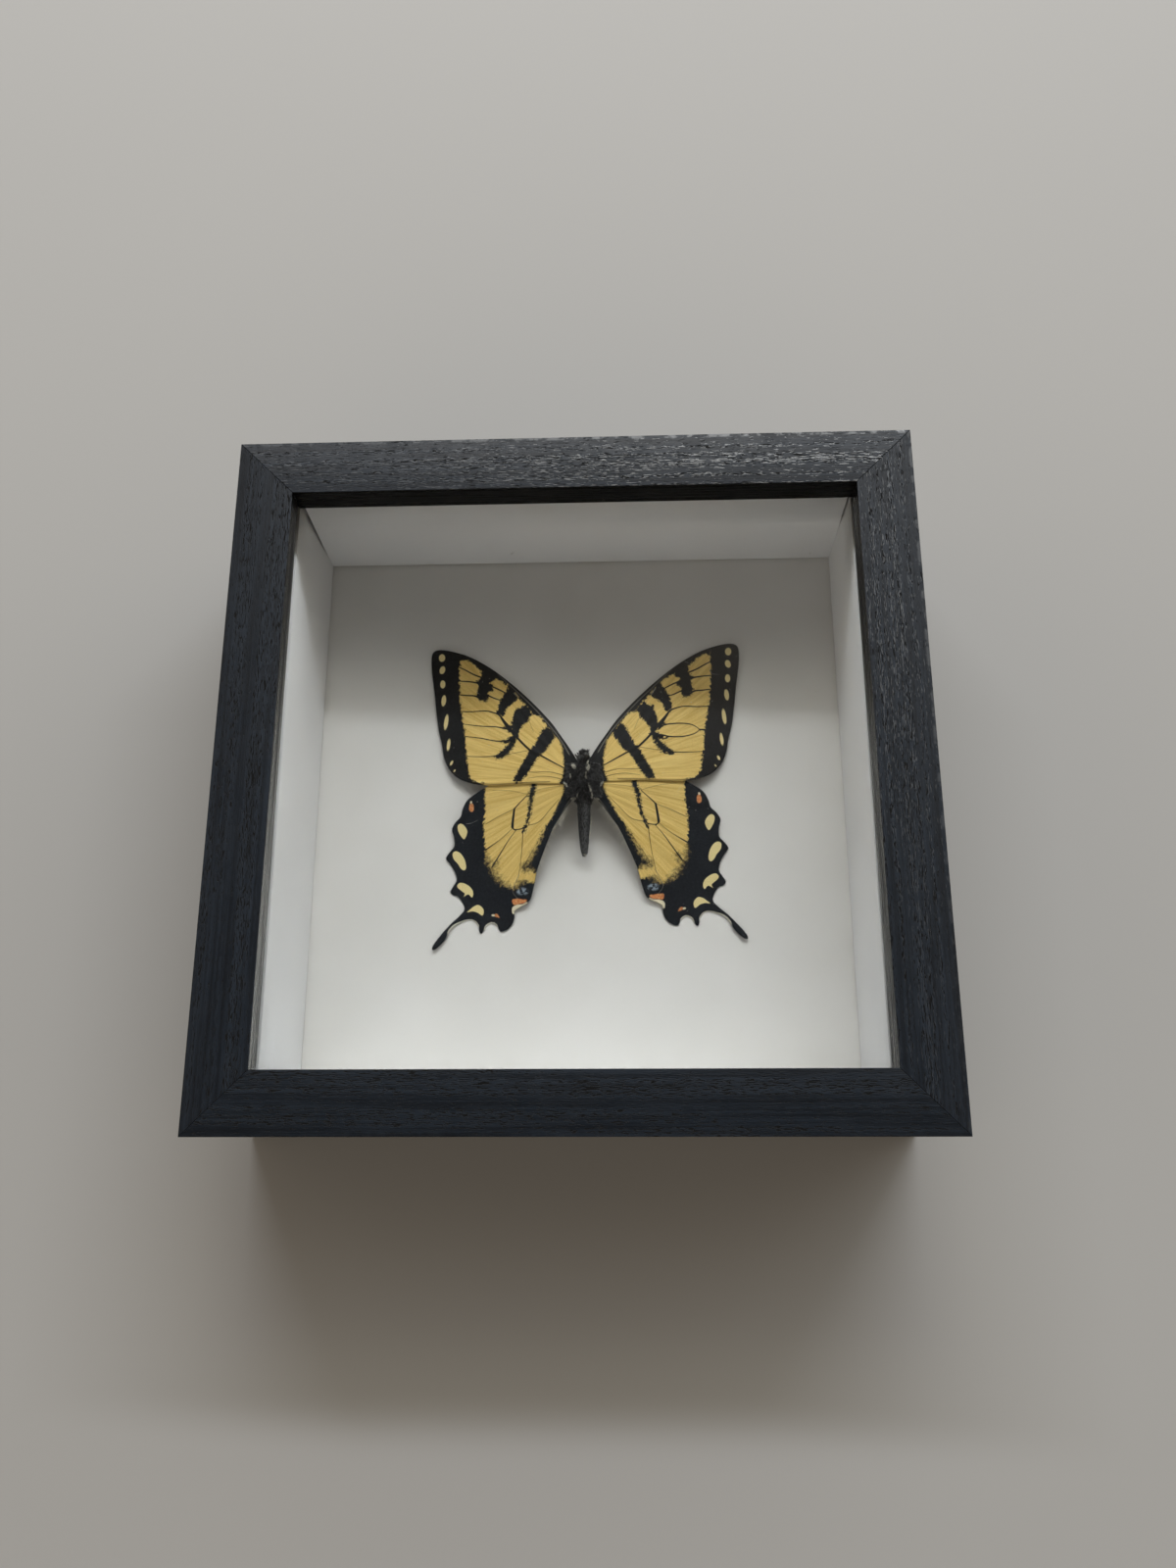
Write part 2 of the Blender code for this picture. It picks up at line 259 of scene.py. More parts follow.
def strands(name, roots, directions, lengths, widths, bends, tones, rings=3):
    # tapered three-sided hairs, all in one mesh, each closed at its root
    slanted = (0.31, 0.17, 0.93)  # a way that hardly any hair points
    across = unit(np.cross(directions, slanted))
    third = np.cross(directions, across)
    lengths, widths = lengths[:, None], widths[:, None]
    corners = []
    for ring in range(rings):
        share = ring / rings
        centre = roots + lengths * share * (directions + bends * share)
        radius = widths * (1 - share) ** 0.6
        for corner in range(3):
            angle = 2 * math.pi * corner / 3
            corners.append(centre + radius * (math.cos(angle) * across + math.sin(angle) * third))
    corners.append(roots + lengths * (directions + bends))
    points = np.stack(corners, axis=1)
    size = 3 * rings + 1
    quads, tips = [], [(0, 2, 1)]
    for corner in range(3):
        after = (corner + 1) % 3
        for ring in range(rings - 1):
            low, high = 3 * ring, 3 * ring + 3
            quads.append((low + corner, low + after, high + after, high + corner))
        tips.append((size - 4 + corner, size - 4 + after, size - 1))
    offsets = (np.arange(len(roots)) * size)[:, None, None]
    faces = (np.array(tips)[None] + offsets).reshape(-1, 3).tolist()
    if quads:
        faces += (np.array(quads)[None] + offsets).reshape(-1, 4).tolist()
    mesh = bpy.data.meshes.new(name)
    mesh.from_pydata((points.reshape(-1, 3) * mm).tolist(), [], faces)
    mesh.shade_smooth()
    mesh.attributes.new("tone", "FLOAT", "POINT").data.foreach_set("value", np.repeat(tones, size))
    return mesh


# Frame: four mitred rails in black stained, open-pored wood

rail = {
    "half": 84.0, "face": 14.0, "wall": 9.25, "depth": 50.0, "lip": 8.6, "spare": 2.0,
    "lipFoot": {"bottom": 13.6, "right": 13.8, "top": 13.6, "left": 13.0},
    "lipShine": {"bottom": 0.12, "right": 0.15, "top": 0.12, "left": 0.5},
    "glintShare": {"bottom": 0.05, "right": 0.35, "top": 1.0, "left": 0.08},  # how strongly the ridges and outer edge carry painted glints, per side
    # colour of the painted glints, highlights painted on ridges and the outer edge
    "glintColour": (0.40, 0.42, 0.44),
    "outerRound": 0.6, "lipRound": 0.3, "mitreGap": 0.02, "mitreRound": 0.10, "segments": 4,
    "dark": (0.0085, 0.0125, 0.0195), "light": (0.0235, 0.0340, 0.0510),
    "poreColour": (0.0015, 0.0020, 0.0030), "pores": 0.56,
    "roughness": (0.42, 0.50), "relief": 0.00008, "gloss": 0.4,
    "lipBlack": (0.0025, 0.0029, 0.0036), "lipGrey": (0.0070, 0.0082, 0.0100),
}


def railWood(name, turned, glintShare):
    made, tree, shader = newMaterial(name, rail["gloss"])
    place = objectCoordinates(tree)
    where = stretched(tree, place, (1, 1, 1), math.pi / 2 * turned, (0.013, 0.021, 0.007))
    grain = useGroup(tree, woodGrain, Vector=where, Pores=rail["pores"])
    wood = mixColour(tree, fade(tree, grain["Tone"], 0.36, 0.64), rail["dark"], rail["light"])
    wood = mixColour(tree, grain["Pore"], wood, rail["poreColour"])

    axes = addNode(tree, "SeparateXYZ", {0: place}).outputs
    outer = calc(tree, "MAXIMUM", calc(tree, "ABSOLUTE", axes["X"]), calc(tree, "ABSOLUTE", axes["Y"]))
    half, depth = rail["half"] * mm, rail["depth"] * mm
    # painted highlight: a broken bright line along the outer front edge
    edge = times(tree, fade(tree, outer, half - 1.1 * mm, half - 0.5 * mm),
                 fade(tree, axes["Z"], depth - 1.0 * mm, depth - 0.4 * mm))
    edge = times(tree, edge, fade(tree, noise(tree, where, 260.0, 3.0), 0.48, 0.58, 0.0, 0.6))
    corner = fade(tree, plus(tree, axes["X"], axes["Y"]), 0.02, 0.13, 0.2, 1.0)  # painted glints grow towards the upper right, where the light reflects
    # painted highlight: ridges and outer edge lightened where light would glint, and made a little glossier
    paintedGlint = times(tree, calc(tree, "MAXIMUM", grain["Ridge"], edge), times(tree, corner, glintShare))

    rough = fade(tree, noise(tree, where, 160.0, 3.0), 0.3, 0.7, *rail["roughness"])
    rough = plus(tree, rough, times(tree, grain["Pore"], 0.4))
    rough = minus(tree, rough, times(tree, paintedGlint, 0.25))
    surface(tree, shader, mixColour(tree, paintedGlint, wood, rail["glintColour"]), rough,
            bump(tree, grain["Height"], 0.9, rail["relief"]))
    return made


def lipPaint(name, turned, shine):  # smoother and glossier than the face, with fine drawn lines
    made, tree, shader = newMaterial(name, shine)
    where = stretched(tree, objectCoordinates(tree), (1, 1, 1), math.pi / 2 * turned)
    drawn = noise(tree, stretched(tree, where, (9, 900, 900)), 1.0, 3.0, 0.65)
    surface(tree, shader, mixColour(tree, fade(tree, drawn, 0.44, 0.56), rail["lipBlack"], rail["lipGrey"]),
            fade(tree, drawn, 0.44, 0.56, 0.08, 0.5), bump(tree, drawn, 0.6, 0.0001))
    return made


def frameRail(side, quarter, materials):
    half, width, wall, lipFoot = rail["half"], rail["face"], rail["wall"], rail["lipFoot"][side]
    depth, lipBack, spare = rail["depth"], rail["depth"] - rail["lip"], rail["spare"]
    profile = [(0, 0), (wall, 0), (wall, lipBack), (lipFoot, lipBack), (width, depth), (0, depth)]
    bm = bmesh.new()
    corners = [bm.verts.new((-half - spare, x - half, z)) for x, z in profile]
    end = bm.faces.new(corners)
    grown = bmesh.ops.extrude_face_region(bm, geom=[end])["geom"]
    moved = [v for v in grown if isinstance(v, bmesh.types.BMVert)]
    bmesh.ops.translate(bm, verts=moved, vec=(2 * half + 2 * spare, 0, 0))
    for way in (-1, 1):  # cut the mitre at each end and close it
        normal = Vector((way, 1, 0)).normalized()
        bmesh.ops.bisect_plane(bm, geom=bm.verts[:] + bm.edges[:] + bm.faces[:], dist=0.0001,
                               plane_co=normal * (-rail["mitreGap"] / 2), plane_no=normal, clear_outer=True)
        bmesh.ops.contextual_create(bm, geom=[e for e in bm.edges if e.is_boundary])

    def frontEdges(test):
        found = []
        for edge in bm.edges:
            a, b = (v.co for v in edge.verts)
            if min(a.z, b.z) > depth - 0.01 and test(a, b):
                found.append(edge)
        return found

    for test, offset, segments in (  # the mitres, the outer edge, then the lip
        (lambda a, b: abs(a.y - b.y) > 1, rail["mitreRound"], 1),
        (lambda a, b: max(a.y, b.y) < -half + 0.01, rail["outerRound"], rail["segments"]),
        (lambda a, b: min(a.y, b.y) > -half + width - 0.01, rail["lipRound"], rail["segments"]),
    ):
        rounded(bm, frontEdges(test), offset, segments)
    bmesh.ops.recalc_face_normals(bm, faces=bm.faces[:])
    for face in bm.faces:
        middle = face.calc_center_median()
        face.material_index = int(middle.y > -half + lipFoot - 0.1 and lipBack < middle.z < depth - 0.2)
    turnAndScale(bm, quarter)
    name = "wood_rail_" + side
    putPiece(name, toMesh(name, bm, 35), materials, ["frame_rail_" + side])


for quarter, side in enumerate(("bottom", "right", "top", "left")):
    # each side's wood carries its own share of painted glint
    frameRail(side, quarter, [railWood("blackWood" + side.title(), quarter % 2, rail["glintShare"][side]),
                              lipPaint("lipPaint" + side.title(), quarter % 2, rail["lipShine"][side])])
print("frame rails done")


# Lining strips of white card over foam; board, back panel, tabs and cork pad keep their solids

card = {
    "low": 9.5, "high": 38.8, "outside": 74.45, "thick": 5.0, "edgeRound": 0.25, "gloss": 0.25,
    "lean": {"left": 1.5, "right": 0.8, "top": 2.0, "bottom": 0.4},  # how far the front edge leans outwards
    "lining": (0.865, 0.865, 0.87), "liningDim": (0.82, 0.82, 0.825),
    "board": (0.825, 0.81, 0.785), "boardDim": (0.775, 0.76, 0.73),
    "hardboard": (0.235, 0.135, 0.07), "hardboardDark": (0.13, 0.07, 0.035),
    "zinc": (0.58, 0.59, 0.61), "zincDull": (0.36, 0.37, 0.38),
    "cork": (0.44, 0.28, 0.15), "corkDark": (0.20, 0.11, 0.055),
}


def paperFinish(name, light, dim, fibre, relief):
    made, tree, shader = newMaterial(name, card["gloss"])
    grain = useGroup(tree, paperGrain, Vector=objectCoordinates(tree), Fibre=fibre)
    surface(tree, shader, mixColour(tree, fade(tree, grain["Tone"], 0.3, 0.68), dim, light),
            fade(tree, grain["Tone"], 0.2, 0.8, 0.82, 0.94), bump(tree, grain["Height"], 0.35, relief))
    return made


def steelFinish():
    made, tree, shader = newMaterial("zincSteel")
    where = objectCoordinates(tree)
    tint = addNode(tree, "SeparateColor", {0: cells(tree, where, 900.0, "Color")}).outputs[0]
    surface(tree, shader, mixColour(tree, tint, card["zincDull"], card["zinc"]),
            fade(tree, noise(tree, where, 1500.0), 0.3, 0.7, 0.28, 0.5),
            bump(tree, noise(tree, where, 2500.0, 3.0), 0.2, 0.00005))
    shader.inputs["Metallic"].default_value = 1.0
    return made


def corkFinish():
    made, tree, shader = newMaterial("rawCork")
    crumbs = cells(tree, objectCoordinates(tree), 1400.0, "Distance")
    surface(tree, shader, mixColour(tree, fade(tree, crumbs, 0.15, 0.6), card["cork"], card["corkDark"]),
            fade(tree, crumbs, 0.0, 0.7, 0.8, 0.95), bump(tree, crumbs, 0.5, 0.00012))
    return made


def liningStrip(side, quarter, material):  # made as the bottom one, then turned into place
    outside, inside = card["outside"], card["outside"] - card["thick"]
    reach = outside if quarter % 2 else inside + 0.3
    bm = bmesh.new()
    bmesh.ops.create_cube(bm, size=1.0)
    low, high = card["low"], card["high"]
    bmesh.ops.scale(bm, verts=bm.verts[:], vec=(2 * reach, card["thick"], high - low))
    bmesh.ops.translate(bm, verts=bm.verts[:], vec=(0, (-outside - inside) / 2, (high + low) / 2))
    frontInside = [v for v in bm.verts if v.co.z > high - 0.1 and v.co.y > -inside - 0.1]
    bmesh.ops.translate(bm, verts=frontInside, vec=(0, -card["lean"][side], 0))
    rounded(bm, bm.edges[:], card["edgeRound"], 2)
    turnAndScale(bm, quarter)
    bmesh.ops.recalc_face_normals(bm, faces=bm.faces[:])
    name = "lining_" + side
    putPiece(name, toMesh(name, bm, 35), [material], ["spacer_" + side])


lining = paperFinish("whiteLining", card["lining"], card["liningDim"], 0.7, 0.00003)
boardCard = paperFinish("whiteBoard", card["board"], card["boardDim"], 0.8, 0.00003)
pressedFibre = paperFinish("brownHardboard", card["hardboard"], card["hardboardDark"], 1.6, 0.00008)
zincSteel = steelFinish()
for quarter, side in enumerate(("bottom", "right", "top", "left")):
    liningStrip(side, quarter, lining)
    for number in (1, 2):
        dress(f"tab_{side}_{number}", zincSteel)
dress("mount_board", boardCard)
dress("back_panel", pressedFibre)
dress("mounting_pad", corkFinish())


# Glass, with a little lint and dust lying on it

glass = {
    "tint": (0.985, 0.995, 0.99), "smear": (0.965, 0.978, 0.975), "shadow": (0.94, 0.95, 0.945), "ior": 1.5,
    "surface": 41.12, "half": 69.0, "seed": 5,
    "lint": 46, "lintLength": (0.5, 3.2), "lintWidth": 0.022,
    "specks": 420, "speckLength": (0.08, 0.26), "speckWidth": (0.03, 0.09),
    "crowdShare": 0.55, "crowdMiddle": (26, 34), "crowdSpread": (26, 20),
    "lintPale": (0.85, 0.85, 0.83), "lintDull": (0.3, 0.3, 0.29),
    "flecks": [  # larger ones: place and length
        (38.5, 60.8, 0.35), (42.6, 59.6, 0.6), (54.6, 60.6, 0.5), (52.9, 55.6, 0.4), (58.9, 55.3, 0.9),
        (62.9, 54.5, 0.4), (34.2, 53.3, 0.4), (52.6, 52.1, 0.35), (46.4, 50.7, 0.8), (49.6, 49.7, 0.4),
        (35.5, 46.0, 0.5), (39.6, 46.0, 0.4), (50.7, 46.1, 0.4), (31.2, 39.4, 0.7), (6.0, 38.8, 0.5),
        (11.5, 33.9, 0.5), (14.7, 34.3, 0.35), (-4.9, 50.3, 0.35), (58.2, 18.5, 1.1), (44.5, 18.5, 0.35),
        (-16.0, 56.5, 1.3), (-14.6, 57.4, 0.5), (-45.0, 44.0, 0.4)],
}


def clearGlass():
    made, tree, shader = newMaterial("clearGlass")
    smears = noise(tree, stretched(tree, objectCoordinates(tree), (22, 40, 30), 0.6), 1.0, 4.0)
    surface(tree, shader, mixColour(tree, fade(tree, smears, 0.5, 0.75), glass["tint"], glass["smear"]), 0.0)
    shader.inputs["IOR"].default_value = glass["ior"]
    shader.inputs["Transmission Weight"].default_value = 1.0
    clear = addNode(tree, "BsdfTransparent", {"Color": glass["shadow"]})
    both = addNode(tree, "MixShader", {0: addNode(tree, "LightPath").outputs["Is Shadow Ray"]})
    tree.links.new(shader.outputs[0], both.inputs[1])
    tree.links.new(clear.outputs[0], both.inputs[2])
    tree.links.new(both.outputs[0], tree.nodes["Material Output"].inputs["Surface"])
    return made


def lintDust():
    chance = np.random.default_rng(glass["seed"])
    count = glass["lint"] + glass["specks"]
    reach = glass["half"]
    places = chance.uniform(-reach, reach, (count, 2))
    crowd = chance.random(count) < glass["crowdShare"]  # most of it lies towards the upper right
    crowded = chance.normal(glass["crowdMiddle"], glass["crowdSpread"], (crowd.sum(), 2))
    places[crowd] = np.clip(crowded, -reach, reach)
    turns = chance.uniform(0, 2 * math.pi, count)
    isLint = np.arange(count) < glass["lint"]
    roots = np.column_stack([places, np.full(count, glass["surface"] + 0.05)])
    directions = np.column_stack([np.cos(turns), np.sin(turns), np.zeros(count)])
    lengths = np.where(isLint, chance.uniform(*glass["lintLength"], count),
                       chance.uniform(*glass["speckLength"], count))
    widths = np.where(isLint, glass["lintWidth"], chance.uniform(*glass["speckWidth"], count))
    swing = chance.normal(0, 0.5, count)
    flecks = np.array(glass["flecks"])
    last = slice(-len(flecks), None)
    roots[last, :2] = flecks[:, :2]
    lengths[last] = flecks[:, 2] * 0.7
    widths[last] = flecks[:, 2] * 0.11
    bends = np.column_stack([-np.sin(turns) * swing, np.cos(turns) * swing, np.zeros(count)])
    return strands("glass_dust", roots, directions, lengths, widths, bends, chance.random(count))


def lintFinish():
    made, tree, shader = newMaterial("paleLint")
    speckle = noise(tree, objectCoordinates(tree), 4000.0)
    shade = plus(tree, times(tree, attribute(tree, "tone"), 0.6), times(tree, speckle, 0.4))
    surface(tree, shader, mixColour(tree, shade, glass["lintDull"], glass["lintPale"]), 0.8)
    return made


dress("glass_pane", clearGlass())
putPiece("glass_dust", lintDust(), [lintFinish()])
print("box, glass and dust done")


# Wings: a fine sheet cut to the outline, with each marking kept as a distance in millimetres

forewing = {
    "outline": [
        (1.3, 4.6), (2.0, 6.3), (3.4, 8.7), (5.6, 12.2), (9.0, 17.4), (14.8, 24.3), (20.5, 30.0),
        (26.4, 34.8), (32.3, 38.0), (38.2, 39.6), (41.1, 39.3), (41.9, 37.4), (41.7, 33.3), (41.0, 28.5),
        (40.3, 23.0), (39.4, 17.0), (38.3, 12.5), (37.6, 8.9), (36.3, 5.8), (33.9, 3.1),
        (31.0, 1.6), (27.5, 0.5), (23.5, 0.1), (15.5, 0.0), (9.0, -0.4), (4.6, -0.7),
        (1.6, -1.2)],
    "cell": 0.27, "edgeHeight": 0.65, "rise": 6.9, "reach": 46.0, "lift": 0.0,
    "pleats": 0.05, "spread": 0.14,
    "margin": [  # inner edge of the black border, then round outside the wing
        (34.1, 37.0), (34.2, 33.7), (34.2, 30.9), (34.0, 28.4), (33.8, 26.2), (33.6, 24.0),
        (33.2, 21.5), (32.8, 19.0), (32.3, 16.8), (32.0, 14.3), (31.7, 11.6), (31.4, 9.1),
        (31.0, 6.7), (30.7, 4.3), (30.3, 2.9), (29.4, 1.9), (28.1, 1.1), (26.2, 0.4),
        (25, -4), (50, -4), (50, 46), (34, 46)],
    "front": [  # black front edge and root
        (34.1, 37.0), (33.0, 36.9), (31.2, 36.1), (29.4, 34.6), (28.0, 33.1), (26.5, 31.5),
        (24.3, 31.1), (22.5, 30.2), (20.6, 28.5), (18.9, 26.4), (17.1, 24.1), (15.7, 22.5),
        (13.9, 19.9), (11.7, 18.8), (9.5, 15.5), (7.7, 12.9), (6.4, 11.3), (5.5, 8.2),
        (5.2, 3.7), (5.6, 1.1), (6.0, -0.9), (0, -4), (-6, 6), (4, 24), (20, 42), (34, 46)],
    "bars": [
        [(28.1, 33.1), (27.9, 31.8), (28.3, 31.3), (29.3, 30.3), (28.7, 28.9), (28.9, 27.8),
         (29.2, 26.7), (28.6, 25.4), (27.3, 24.7), (26.4, 24.9), (26.3, 25.9), (26.4, 26.7),
         (25.9, 27.4), (24.9, 28.0), (25.4, 29.0), (25.9, 30.0), (24.3, 31.1), (26.0, 32.4)],
        [(20.5, 28.4), (19.2, 27.1), (18.1, 25.4), (18.4, 24.4), (19.4, 23.6), (20.6, 22.6),
         (21.2, 21.4), (21.8, 20.1), (22.6, 20.0), (23.3, 20.9), (23.2, 22.2), (22.8, 23.9),
         (22.0, 25.9), (21.2, 26.9)],
        [(15.7, 22.5), (13.9, 19.9), (14.7, 19.3), (14.9, 18.1), (16.2, 16.9), (17.0, 15.7),
         (17.5, 14.5), (17.5, 12.9), (18.5, 13.6), (19.4, 15.1), (19.6, 16.2), (19.3, 18.1),
         (18.7, 19.9), (18.4, 21.5), (17.0, 21.8)],
        [(9.3, 15.5), (7.7, 12.9), (8.1, 12.0), (9.1, 10.5), (10.3, 8.6), (11.2, 7.9),
         (12.0, 7.3), (12.9, 5.9), (13.7, 4.5), (14.8, 2.8), (15.9, 1.4), (16.7, 0.6),
         (18.0, 0.7), (18.4, 1.4), (17.9, 2.4), (16.8, 4.4), (15.7, 6.4), (14.9, 7.8),
         (14.1, 9.0), (13.2, 10.2), (12.3, 11.9), (11.4, 13.8), (10.8, 15.0)],
        [(23.8, 8.2), (22.4, 9.0), (21.1, 10.1), (19.9, 11.5), (18.8, 12.8), (18.0, 12.4),
         (18.9, 10.6), (20.1, 8.8), (21.1, 8.0), (22.3, 7.6), (23.4, 7.7)],
        [(22.3, 12.4), (21.0, 12.5), (19.6, 13.3), (18.5, 13.6), (17.9, 12.5), (19.0, 11.8),
         (20.7, 11.9)],
        [(21.7, 16.3), (20.3, 16.6), (19.1, 15.6), (17.7, 13.3), (18.3, 12.9), (19.7, 15.0),
         (20.9, 15.8)]],
    "veins": [  # points, half width at the start and at the end
        ([(34.1, 34.6), (32.3, 33.7), (30.2, 32.5), (27.8, 31.5)], 0.16, 0.22),
        ([(34.1, 30.7), (31.6, 30.5), (29.5, 30.1), (28.4, 29.6)], 0.16, 0.27),
        ([(33.9, 26.7), (31.5, 26.4), (29.7, 26.2), (28.2, 25.3)], 0.16, 0.27),
        ([(26.0, 29.2), (23.6, 28.0), (21.4, 26.7)], 0.22, 0.16),
        ([(26.6, 26.4), (24.1, 25.1), (22.5, 24.5)], 0.22, 0.14),
        ([(33.4, 21.8), (30.4, 21.6), (26.9, 21.6), (25.1, 21.2), (23.3, 20.4), (22.1, 19.2),
          (21.2, 17.9), (19.7, 15.6)], 0.14, 0.23),
        ([(22.4, 19.4), (21.3, 17.8), (19.9, 15.7)], 0.22, 0.62),
        ([(31.4, 8.8), (27.6, 8.4), (23.5, 8.2)], 0.04, 0.14),
        ([(19.7, 15.9), (17.6, 12.9), (14.3, 9.3), (11.8, 7.8), (8.3, 5.6), (5.2, 3.7)], 0.33, 0.15)],
    # fold lines: raised a little in the sheet and painted darker as shade
    "creases": [
        ([(31.4, 8.8), (27.6, 8.4), (23.5, 8.2)], 0.11, 0.12),
        ([(21.0, 8.4), (17.2, 8.8), (14.6, 9.2)], 0.08, 0.09),
        ([(15.9, 3.3), (12.5, 2.9), (9.1, 2.8), (5.2, 1.7)], 0.09, 0.12),
        ([(14.5, 1.4), (11.0, 1.7), (8.0, 1.3), (5.2, 0.5)], 0.05, 0.12),
        ([(30.0, 1.2), (23.5, 0.4), (15.5, 0.3), (9.0, 0.1)], 0.14, 0.10),
        ([(16.0, 20.6), (14.6, 17.6), (13.4, 14.6)], 0.04, 0.04)],
    # painted highlight: pale grey lines where the costal vein catches the light
    "highlightLines": [
        ([(23.5, 32.3), (18.3, 26.9), (13.8, 22.0), (9.1, 16.1), (5.9, 11.4), (3.8, 7.5)], 0.05, 0.16),
        ([(18.9, 26.3), (18.3, 25.7), (17.7, 25.0)], 0.20, 0.06)],
    "spots": [  # centre, half width, half height, lean
        (39.1, 37.4, 0.85, 1.10, 0.0), (38.9, 33.9, 0.75, 1.15, 0.25), (38.7, 29.8, 0.70, 1.15, 0.0),
        (38.3, 25.1, 0.62, 1.60, 0.1), (37.4, 18.9, 0.55, 2.20, 0.1), (36.5, 12.4, 0.46, 1.75, 0.1),
        (35.5, 7.15, 0.34, 0.72, 0.45), (34.6, 4.95, 0.22, 0.42, 0.6)],
    "lunules": [], "orange": [], "pale": [], "eyespot": [],
    "powder": [(19.6, 9.6, 2.6, 0.30), (27.5, 24.5, 2.4, 0.25)],
}
